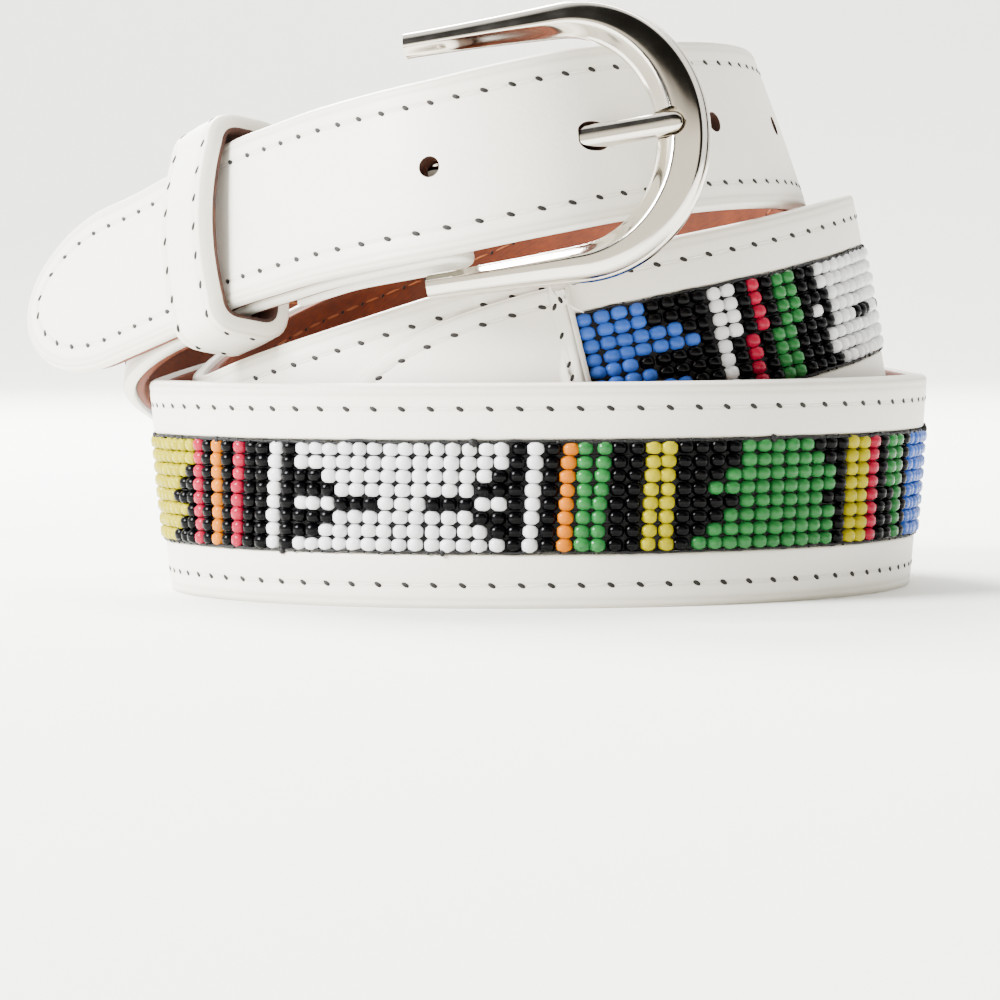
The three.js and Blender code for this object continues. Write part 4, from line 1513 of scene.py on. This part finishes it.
NARROW_STRIPES = ("YYRKGGKB",) * 4 + ("YYRKKGKB",) * 4
BLUE_BLOCK = ("BBBBBBBBKK",) * 8


@dataclass(frozen=True)
class Stretch:
    """One chart on the band, with the spacing of its columns and how far each leans.

    The lean is how much further on along the belt a column's lowest bead sits than its highest.
    """

    chart: tuple[str, ...]
    pitch_mm: float
    lean_mm: float = 0.0


# From the billet's tab: the front of the middle turn, the hidden back, the front of the bottom turn.
HIDDEN_PITCH = 2.45
BAND = (
    Stretch(BLUE_STEPS, 2.58),
    Stretch(PAIRED_STRIPES, 2.5, 0.5),
    Stretch(WHITE_STEPS, 2.5, 0.5),
    Stretch(RIGHT_STRIPES, HIDDEN_PITCH),
    Stretch(GREEN_TREE, HIDDEN_PITCH),
    Stretch(NARROW_STRIPES, HIDDEN_PITCH),
    Stretch(ARROW_ON_WHITE, HIDDEN_PITCH),
    Stretch(RIGHT_STRIPES, HIDDEN_PITCH),
    Stretch(BLUE_STEPS, HIDDEN_PITCH, -0.6),
    Stretch(YELLOW_STEPS, 2.63, -1.8),
    Stretch(LEFT_STRIPES, 2.63, -1.7),
    Stretch(ARROW_ON_WHITE, 2.42, -1.1),
    Stretch(RIGHT_STRIPES, 2.46, -1.0),
    Stretch(GREEN_TREE, 2.56, -0.3),
    Stretch(NARROW_STRIPES, 2.85, 0.6),
    Stretch(BLUE_BLOCK, HIDDEN_PITCH),
    Stretch(PAIRED_STRIPES, HIDDEN_PITCH),
    Stretch(YELLOW_STEPS, HIDDEN_PITCH),
)
FRONT_START = 687.1  # where the bottom turn's front begins, with its yellow steps
FIRST_HIDDEN_STRETCH = 3
FRONT_STRETCH = 9


@dataclass
class BeadBand:
    """The woven inlay: seed beads in eight rows, black thread between them and at the edges."""

    thread: bpy.types.Material
    bead_half_mm: tuple[float, float, float] = (1.2, 1.0, 1.0)
    pitch_filled_mm: float = 2.42
    squareness: float = 2.9
    middle_lift_mm: float = -0.3
    edge_thread_mm: float = 0.4
    knot_share: float = 0.06
    knot_growth: float = 2.4

    def columns(self) -> tuple[np.ndarray, np.ndarray, np.ndarray, np.ndarray]:
        """Set out the band's columns of eight beads.

        Returns:
            Each column's middle, pitch and lean, and its letters from the top down.
        """
        hidden = sum(len(stretch.chart[0]) for stretch in BAND[FIRST_HIDDEN_STRETCH:FRONT_STRETCH])
        shown = sum(len(stretch.chart[0]) * stretch.pitch_mm for stretch in BAND[:FIRST_HIDDEN_STRETCH])
        closed_up = (FRONT_START - BEADS_START - shown) / hidden
        letters, pitches, leans = [], [], []
        for i, stretch in enumerate(BAND):
            count = len(stretch.chart[0])
            letters += list(zip(*stretch.chart))
            is_hidden = FIRST_HIDDEN_STRETCH <= i < FRONT_STRETCH
            pitches += [closed_up if is_hidden else stretch.pitch_mm] * count
            leans += [stretch.lean_mm] * count
        spare = int((BEADS_END - LAYER_GAP - BEADS_START - sum(pitches)) / HIDDEN_PITCH)
        letters += [("K",) * BEAD_ROWS] * spare
        pitches += [HIDDEN_PITCH] * spare
        leans += [0.0] * spare
        pitches = np.array(pitches)
        middles = BEADS_START + np.cumsum(pitches) - pitches / 2
        fits = middles + pitches / 2 < BEADS_END - LAYER_GAP
        eased = np.convolve(np.pad(leans, 5, "edge"), np.full(11, 1 / 11), "valid")
        return middles[fits], pitches[fits], eased[fits], np.array(letters)[fits]

    def build(self) -> None:
        """Make the beads of each colour, the backing and the threads."""
        draws = np.random.default_rng(SEED)
        middles, pitches, leans, letters = self.columns()
        shape = letters.shape
        row_middle = BAND_HALF - BEAD_ROW_PITCH * (np.arange(BEAD_ROWS) + 0.5)
        down = np.arange(BEAD_ROWS) / (BEAD_ROWS - 1) - 0.5
        sway = np.cumsum(draws.normal(0, 0.07, shape), axis=1)
        sway -= sway.mean(axis=1)[:, None]
        along = middles[:, None] + leans[:, None] * down + sway + draws.normal(0, 0.05, shape)
        places = np.stack([
            along,
            row_middle[None] + draws.normal(0, 0.04, shape),
            self.middle_lift_mm + draws.normal(0, 0.05, shape),
        ], axis=-1)
        sizes = np.array(self.bead_half_mm) * draws.normal(1, 0.035, (*shape, 3))
        sizes[..., 0] *= (pitches / self.pitch_filled_mm)[:, None]
        turns = draws.normal(0, 0.06, shape)
        tones = draws.uniform(-1, 1, shape)
        for bead in Bead:
            letter, glass = bead.value
            chosen = letters == letter
            copies = repeated(capsule(12, 6, self.squareness), places[chosen], sizes[chosen],
                              turns[chosen], tones=tones[chosen])
            piece_from(copies, f"{bead.name.lower()}_beads", [glass.build()])
        self.backing()
        self.threads(draws, middles)

    def backing(self) -> None:
        """Make the dark warp that closes the band behind its beads, in the leather's channel."""
        at = evenly(BEADS_START + LAYER_GAP, BEADS_END - LAYER_GAP, 2.0)
        outline = Outline(at, np.full(len(at), BAND_HALF))
        profile = Profile(((1.0, -1.0), (0.0, -1.0), (0.0, -0.75), (0.2, -0.62)), ((1.0, -0.62),))
        flat, crease_shade = outline.skin(profile)
        points = laid(flat.reshape(-1, 3).copy()).reshape(flat.shape)
        piece_from(lofted(points, flat[..., :2], crease_shade * 0), "bead_warp", [self.thread],
                   ("bead_band",))

    def threads(self, draws: np.random.Generator, middles: np.ndarray) -> None:
        """Make the waxed threads that run along between the rows and along the two edges.

        Args:
            draws: Where the random numbers come from.
            middles: The columns' middles.
        """
        at = evenly(BEADS_START + LAYER_GAP, BEADS_END - LAYER_GAP, 1.3)
        ring = np.linspace(0, 2 * np.pi, 7)
        skins = bmesh.new()
        for line in range(BEAD_ROWS + 1):
            edge = line in (0, BEAD_ROWS)
            across = BAND_HALF - BEAD_ROW_PITCH * line
            lift = 0.05 if edge else -0.55
            radius = (self.edge_thread_mm if edge else 0.3) / 2
            wander = np.convolve(draws.normal(0, 0.16 if edge else 0.05, len(at)), np.ones(3) / 3, "same")
            thick = radius * (1 + 0.25 * np.clip(draws.normal(0, 1, len(at)), -1, 2) * edge)
            flat = np.empty((len(at), len(ring), 3))
            flat[..., 0] = at[:, None]
            flat[..., 1] = (across + wander)[:, None] + thick[:, None] * np.cos(ring)
            flat[..., 2] = lift + thick[:, None] * np.sin(ring)
            points = laid(flat.reshape(-1, 3).copy()).reshape(flat.shape)
            mesh = bpy.data.meshes.new("thread")
            strand = lofted(points, flat[..., :2])
            strand.to_mesh(mesh)
            strand.free()
            skins.from_mesh(mesh)
            bpy.data.meshes.remove(mesh)
        piece_from(skins, "warp_threads", [self.thread])
        self.edge_loops(draws, middles)

    def edge_loops(self, draws: np.random.Generator, middles: np.ndarray) -> None:
        """Make the small loops where each column's weft thread turns round the edge thread.

        Args:
            draws: Where the random numbers come from.
            middles: The columns' middles.
        """
        count = len(middles)
        across = BAND_HALF + 0.05
        places = np.vstack([np.column_stack([middles + HIDDEN_PITCH / 2 + draws.normal(0, 0.15, count),
                                             np.full(count, side * across) + draws.normal(0, 0.05, count),
                                             np.full(count, 0.16)]) for side in (1, -1)])
        sizes = np.abs(draws.normal((0.22, 0.24, 0.22), (0.05, 0.07, 0.04), (2 * count, 3)))
        knots = draws.random(2 * count) < self.knot_share
        sizes[knots] *= self.knot_growth
        loops = repeated(capsule(6, 4), places, sizes, draws.normal(0, 0.4, 2 * count))
        piece_from(loops, "weft_loops", [self.thread])


# The buckle

ARMS_BEHIND_BAR = BAR_DIAMETER / 2 + BAR_WALL
SEAT_REACH = BUCKLE_LENGTH - ARMS_BEHIND_BAR - RIM_AT_END / 2
PRONG_TILT = math.asin(((RIM_THICKNESS - PRONG_THICKNESS) / 2 + PRONG_PROUD) / SEAT_REACH)


def buckle_places() -> Places:
    """Find the buckle's own place, with along towards its round end.

    Returns:
        One place, at the middle of the bar.
    """
    strap = TRACK.at(BAR_ON_BILLET)
    bar = strap.points(BUCKLE_RISE, -(LAID_ON + FACE_THICKNESS + FIT_GAP + BAR_DIAMETER / 2))
    hole = TRACK.at(PRONG_HOLE_AT).points(BUCKLE_RISE, 0)
    aim = hole - bar
    aim -= np.sum(aim * strap.up, axis=1)[:, None] * strap.up
    aim /= np.linalg.norm(aim, axis=1)[:, None]
    toward = Places(bar, aim, strap.up, np.cross(aim, strap.up))
    return toward.turned(PRONG_TILT)


def prong_places() -> Places:
    """Give the prong's own place, at the bar, with along through its hole."""
    return buckle_places().turned(-PRONG_TILT)


def softened(outline: np.ndarray, rounds: int = 2) -> np.ndarray:
    """Round the corners of a closed outline by cutting them, a few times over.

    Args:
        outline: Rows of points, the first not repeated.
        rounds: How many times.

    Returns:
        The rounder outline, with its first point repeated at its end.
    """
    for _ in range(rounds):
        after = np.roll(outline, -1, axis=0)
        outline = np.stack([0.78 * outline + 0.22 * after, 0.22 * outline + 0.78 * after],
                           axis=1).reshape(-1, 2)
    return np.vstack([outline, outline[:1]])


@dataclass
class Buckle:
    """The horseshoe rim with its bar, and the prong that lies in its rim."""

    nickel: bpy.types.Material
    bend_steps: int = 72
    arm_steps: int = 16

    def solid(self, rows: np.ndarray, places: Places) -> bmesh.types.BMesh:
        """Skin rings at a place of the buckle.

        Args:
            rows: Rings of ahead, across and lift, in millimetres.
            places: The place, as one row.

        Returns:
            The closed solid.
        """
        count = rows.shape[0] * rows.shape[1]
        flat = rows.reshape(count, 3)
        here = Places(*(np.repeat(part, count, axis=0) for part in (
            places.origin, places.along, places.up, places.out)))
        points = in_frame(here.points(flat[:, 1], flat[:, 2], flat[:, 0])).reshape(rows.shape)
        return lofted(points, rows[..., :2])

    def rim_line(self) -> np.ndarray:
        """Draw the rim's middle line.

        Returns:
            Rows of ahead, across, width and thickness.
        """
        start = -ARMS_BEHIND_BAR
        bend_height = (BUCKLE_HEIGHT - RIM_AT_ARMS) / 2
        bend_length = BUCKLE_BEND - RIM_AT_END / 2
        bend_start = start + BUCKLE_LENGTH - BUCKLE_BEND
        angle = np.linspace(0, np.pi, self.bend_steps)
        arm = np.linspace(start, bend_start, self.arm_steps, endpoint=False)
        ahead = np.concatenate([arm, bend_start + bend_length * np.sin(angle), arm[::-1]])
        across = np.concatenate([np.full(len(arm), bend_height), bend_height * np.cos(angle),
                                 np.full(len(arm), -bend_height)])
        share = np.clip((ahead - start) / (bend_start + bend_length - start), 0, 1)
        progress = smoothstep(share, 0, 1)
        width = RIM_AT_ARMS + (RIM_AT_END - RIM_AT_ARMS) * share**RIM_SWELL
        thick = RIM_THICKNESS_AT_ARMS + (RIM_THICKNESS - RIM_THICKNESS_AT_ARMS) * progress
        return np.column_stack([ahead, across, width, thick])

    def rim(self) -> None:
        """Make the rim and its bar."""
        # Section from the inside of the rim to its outside: side and lift as shares of half of each.
        section = softened(np.array([
            (-0.6, -1.0), (0.85, -1.0), (1.0, -0.8), (1.0, -0.2), (0.95, -0.05), (0.9, 0.0),
            (0.89, 0.14), (0.82, 0.5), (0.68, 0.7), (0.3, 0.9), (-0.12, 1.0), (-0.26, 0.98),
            (-0.36, 0.88), (-0.78, 0.22), (-0.9, 0.08), (-1.0, -0.02), (-1.0, -0.55),
        ]))
        line = self.rim_line()
        heading = np.gradient(line[:, :2], axis=0)
        heading /= np.linalg.norm(heading, axis=1)[:, None]
        outwards = np.column_stack([-heading[:, 1], heading[:, 0]])
        side = section[None, :, 0] * line[:, 2:3] / 2
        rows = np.stack([
            line[:, 0:1] + side * outwards[:, 0:1],
            line[:, 1:2] + side * outwards[:, 1:2],
            section[None, :, 1] * line[:, 3:4] / 2,
        ], axis=-1)
        bm = self.solid(rows, buckle_places())
        reach = BUCKLE_HEIGHT - RIM_AT_ARMS
        bar = bmesh.ops.create_cone(bm, cap_ends=True, segments=32, radius1=BAR_DIAMETER / 2,
                                    radius2=BAR_DIAMETER / 2, depth=reach,
                                    matrix=Matrix.Rotation(math.pi / 2, 4, "X"))
        placed(bm, bar["verts"], buckle_places())
        made = piece_from(bm, "rim_and_bar", [self.nickel, self.nickel], ("buckle_rim",))
        punch(made, self.notch(), [self.nickel, self.nickel])

    def notch(self) -> bmesh.types.BMesh:
        """Make the cutter of the notch that the prong's tip lies in.

        Returns:
            The cutter.
        """
        bm = bmesh.new()
        start, end = SEAT_REACH - RIM_AT_END, SEAT_REACH + PRONG_PAST_SEAT + FIT_GAP
        floor, half = -PRONG_THICKNESS / 2 - FIT_GAP, PRONG_WIDTH / 2 + FIT_GAP
        cube = bmesh.ops.create_cube(bm, size=1)
        bmesh.ops.scale(bm, vec=(end - start, 2 * half, RIM_THICKNESS - floor), verts=cube["verts"])
        bmesh.ops.translate(bm, vec=((start + end) / 2, 0, (RIM_THICKNESS + floor) / 2),
                            verts=cube["verts"])
        upright = [edge for edge in bm.edges if all(v.co.x > start + 1 for v in edge.verts)
                   and abs(edge.verts[0].co.z - edge.verts[1].co.z) > 1]
        bmesh.ops.bevel(bm, geom=upright, offset=0.96 * half, segments=8, profile=0.5,
                        affect="EDGES", material=-1)
        placed(bm, bm.verts[:], prong_places())
        return bm

    def prong(self) -> None:
        """Make the prong: its eye round the bar and its faceted tongue."""
        eye_inner = BAR_DIAMETER / 2 + FIT_GAP
        end = SEAT_REACH + PRONG_PAST_SEAT
        blunt = PRONG_WIDTH / 2 / (end - eye_inner)
        share = np.concatenate([np.linspace(0, 1 - blunt, 14)[:-1],
                                1 - blunt + blunt * np.sin(np.linspace(0, np.pi / 2, 9))])
        rounded = np.sqrt(np.clip(1 - (np.clip(share - 1 + blunt, 0, 1) / blunt) ** 2, 0, 1))
        slim = (1 - 0.05 * share) * np.clip(rounded, 0.06, 1)
        section = softened(np.array([
            (-0.7, -1.0), (0.7, -1.0), (1.0, -0.5), (1.0, 0.3), (0.66, 1.0), (-0.66, 1.0),
            (-1.0, 0.3), (-1.0, -0.5),
        ]), 1)
        ahead = eye_inner + share * (end - eye_inner)
        rows = np.stack([
            np.broadcast_to(ahead[:, None], (len(share), len(section))),
            section[None, :, 0] * PRONG_WIDTH / 2 * slim[:, None],
            section[None, :, 1] * PRONG_THICKNESS / 2 * np.sqrt(slim)[:, None],
        ], axis=-1)
        bm = self.solid(rows, prong_places())
        outer = eye_inner + PRONG_EYE_WALL
        mean, wall = (eye_inner + outer) / 2, PRONG_EYE_WALL / 2
        angle = np.linspace(0, 2 * np.pi, 41)
        ring = softened(np.array([(-1.0, -1.0), (1.0, -1.0), (1.0, 1.0), (-1.0, 1.0)]))
        radius = mean + ring[None, :, 1] * wall
        eye_rows = np.stack([
            radius * np.cos(angle)[:, None],
            np.broadcast_to(ring[None, :, 0] * PRONG_WIDTH / 2, (len(angle), len(ring))),
            radius * np.sin(angle)[:, None],
        ], axis=-1)
        eye = self.solid(eye_rows, prong_places())
        mesh = bpy.data.meshes.new("eye")
        eye.to_mesh(mesh)
        eye.free()
        bm.from_mesh(mesh)
        bpy.data.meshes.remove(mesh)
        made = piece_from(bm, "prong", [self.nickel], ("buckle_prong",))
        made.data.set_sharp_from_angle(angle=math.radians(SHARP_DEG))

    def build(self) -> None:
        """Make the rim and the prong."""
        self.rim()
        self.prong()


# The studio


@dataclass(frozen=True)
class PhotoCamera:
    """The camera at the photograph's place, just above the belt and slightly turned."""

    place_mm: tuple[float, float, float] = (4.33, -668.7, 44.6)
    pitch_deg: float = -2.69
    roll_deg: float = -0.45
    lens_mm: float = 153.0
    sensor_mm: float = 36.0

    def build(self) -> None:
        """Make the camera and give it to the scene."""
        data = bpy.data.cameras.new("photo_camera")
        data.lens = self.lens_mm
        data.sensor_width = self.sensor_mm
        data.clip_start = 0.05
        data.clip_end = 20
        camera = bpy.data.objects.new("photo_camera", data)
        aim = Matrix.Rotation(math.radians(90 + self.pitch_deg), 4, "X")
        roll = Matrix.Rotation(math.radians(self.roll_deg), 4, "Z")
        camera.matrix_world = Matrix.Translation(Vector(self.place_mm) * MM) @ aim @ roll
        bpy.context.scene.collection.objects.link(camera)
        bpy.context.scene.camera = camera


@dataclass(frozen=True)
class SoftBox:
    """One soft light: a square panel that looks at the belt, or at another point."""

    name: str
    place_m: tuple[float, float, float]
    size_m: float
    watts: float
    colour: str = "#FFFFFF"
    aim_m: tuple[float, float, float] = (0, 0, 0.04)

    def build(self) -> None:
        """Make the light."""
        data = bpy.data.lights.new(self.name, "AREA")
        data.size = self.size_m
        data.energy = self.watts
        data.color = linear(self.colour)[:3]
        light = bpy.data.objects.new(self.name, data)
        light.location = self.place_m
        towards = Vector(self.aim_m) - Vector(self.place_m)
        light.rotation_euler = towards.to_track_quat("-Z", "Y").to_euler()
        bpy.context.scene.collection.objects.link(light)


@dataclass
class Studio:
    """A seamless pale sweep, a bright room around it and three soft boxes."""

    floor_half_m: float = 1.6
    wall_m: float = 1.2
    sweep_radius_m: float = 0.9
    room_strength: float = 2.1
    room_colour: str = "#FAF9F6"
    front_colour: str = "#F2EADA"
    ring_colour: str = "#131210"
    # Where the dark ring starts and ends, as shares of the way from the camera's side to the far
    # side, and how steeply above the floor it closes over the front.
    ring_inner: tuple[float, float] = (0.09, 0.14)
    ring_outer: tuple[float, float] = (0.33, 0.42)
    ring_above: tuple[float, float] = (0.42, 0.56)

    def sweep(self) -> None:
        """Make the floor that curves up into the backdrop."""
        bm = bmesh.new()
        bmesh.ops.create_grid(bm, x_segments=1, y_segments=1, size=self.floor_half_m)
        far = [edge for edge in bm.edges if all(v.co.y > 0 for v in edge.verts)]
        curved = bmesh.ops.spin(
            bm, geom=far + list({v for edge in far for v in edge.verts}), angle=math.pi / 2, steps=24,
            cent=(0, self.floor_half_m, self.sweep_radius_m), axis=(1, 0, 0), use_duplicate=False)
        last = [item for item in curved["geom_last"] if isinstance(item, bmesh.types.BMEdge)]
        raised = bmesh.ops.extrude_edge_only(bm, edges=last)
        tops = [item for item in raised["geom"] if isinstance(item, bmesh.types.BMVert)]
        bmesh.ops.translate(bm, vec=(0, 0, self.wall_m), verts=tops)
        bmesh.ops.recalc_face_normals(bm, faces=bm.faces)
        for face in bm.faces:
            face.smooth = True
        mesh = bpy.data.meshes.new("paper_sweep")
        bm.to_mesh(mesh)
        bm.free()
        mesh.materials.append(StudioPaper().build())
        sweep = bpy.data.objects.new("paper_sweep", mesh)
        bpy.context.scene.collection.objects.link(sweep)

    def room(self) -> None:
        """Make the room's light: pale, with a dark ring round the camera that the metal shows."""
        world = bpy.data.worlds.new("studio_room")
        world.use_nodes = True
        bpy.context.scene.world = world
        tree = world.node_tree
        coords = add(tree, "ShaderNodeTexCoord").outputs["Generated"]
        parts = add(tree, "ShaderNodeSeparateXYZ", {0: coords})
        away = add(tree, "ShaderNodeMapRange", {"Value": parts.outputs["Y"], "From Min": -1.0})
        beside, above, far = (
            add(tree, "ShaderNodeMapRange", {"Value": value, "From Min": low, "From Max": high})
            for value, (low, high) in ((away.outputs[0], self.ring_inner),
                                       (parts.outputs["Z"], self.ring_above),
                                       (away.outputs[0], self.ring_outer)))
        ring = add(tree, "ShaderNodeMath", {0: beside.outputs[0], 1: above.outputs[0]},
                   operation="MAXIMUM")
        near_side = add(tree, "ShaderNodeMix", {0: ring.outputs[0], 6: linear(self.front_colour),
                                                7: linear(self.ring_colour)}, data_type="RGBA")
        all_round = add(tree, "ShaderNodeMix", {0: far.outputs[0], 6: near_side.outputs[2],
                                                7: linear(self.room_colour)}, data_type="RGBA")
        background = tree.nodes["Background"]
        tree.links.new(all_round.outputs[2], background.inputs["Color"])
        background.inputs["Strength"].default_value = self.room_strength

    def build(self) -> None:
        """Make the sweep, the room and the lights."""
        self.sweep()
        self.room()
        SoftBox("key_box", (-1.5, -0.7, 1.0), 0.8, 190).build()
        SoftBox("top_box", (-0.5, 0.9, 1.0), 0.6, 110).build()
        SoftBox("backdrop_box", (0, 0.7, 1.6), 1.4, 90, aim_m=(0, 2.2, 0.2)).build()


def main() -> None:
    """Build the camera, the studio and the belt's sub-assemblies in order."""
    logging.basicConfig(level=logging.INFO, format="%(name)s: %(message)s")
    PhotoCamera().build()
    Studio().build()
    leather = CoatedLeather().build()
    lining = VegetableTannedLining().build()
    # Punched edges: the cut leather's brown, made darker than the lining as painted shade inside the
    # holes
    shaded_hole_edge = VegetableTannedLining(name="shaded_punched_edge", colour="#4A2614", shade="#24100A").build()
    black_thread = WaxedThread(name="black_warp_thread").build()
    # The stitch holes' dark marks: painted shade inside the holes, made with the thread's finish
    hole_shade = WaxedThread(name="awl_hole_shade", colour="#120E0A").build()
    stitching = Stitching(WaxedThread(name="white_sewing_thread", colour="#E4E1D8").build(), hole_shade)
    back_stitching = Stitching(WaxedThread(name="tan_sewing_thread", colour="#8A4A22").build(), hole_shade,
                               slit_half_mm=(0.4, 0.2, 0.08))
    for title, assembly in (
        ("straps", Straps(leather, lining, shaded_hole_edge, stitching, back_stitching)),
        ("tabs", Tabs(leather, stitching)),
        # The keeper's lining takes the dark punched-edge finish: painted shade inside the loop
        ("keeper", Keeper(leather, shaded_hole_edge, stitching)),
        ("bead band", BeadBand(black_thread)),
        ("buckle", Buckle(PolishedNickel().build())),
    ):
        LOG.info("building the %s", title)
        assembly.build()


if __name__ == "__main__":
    main()
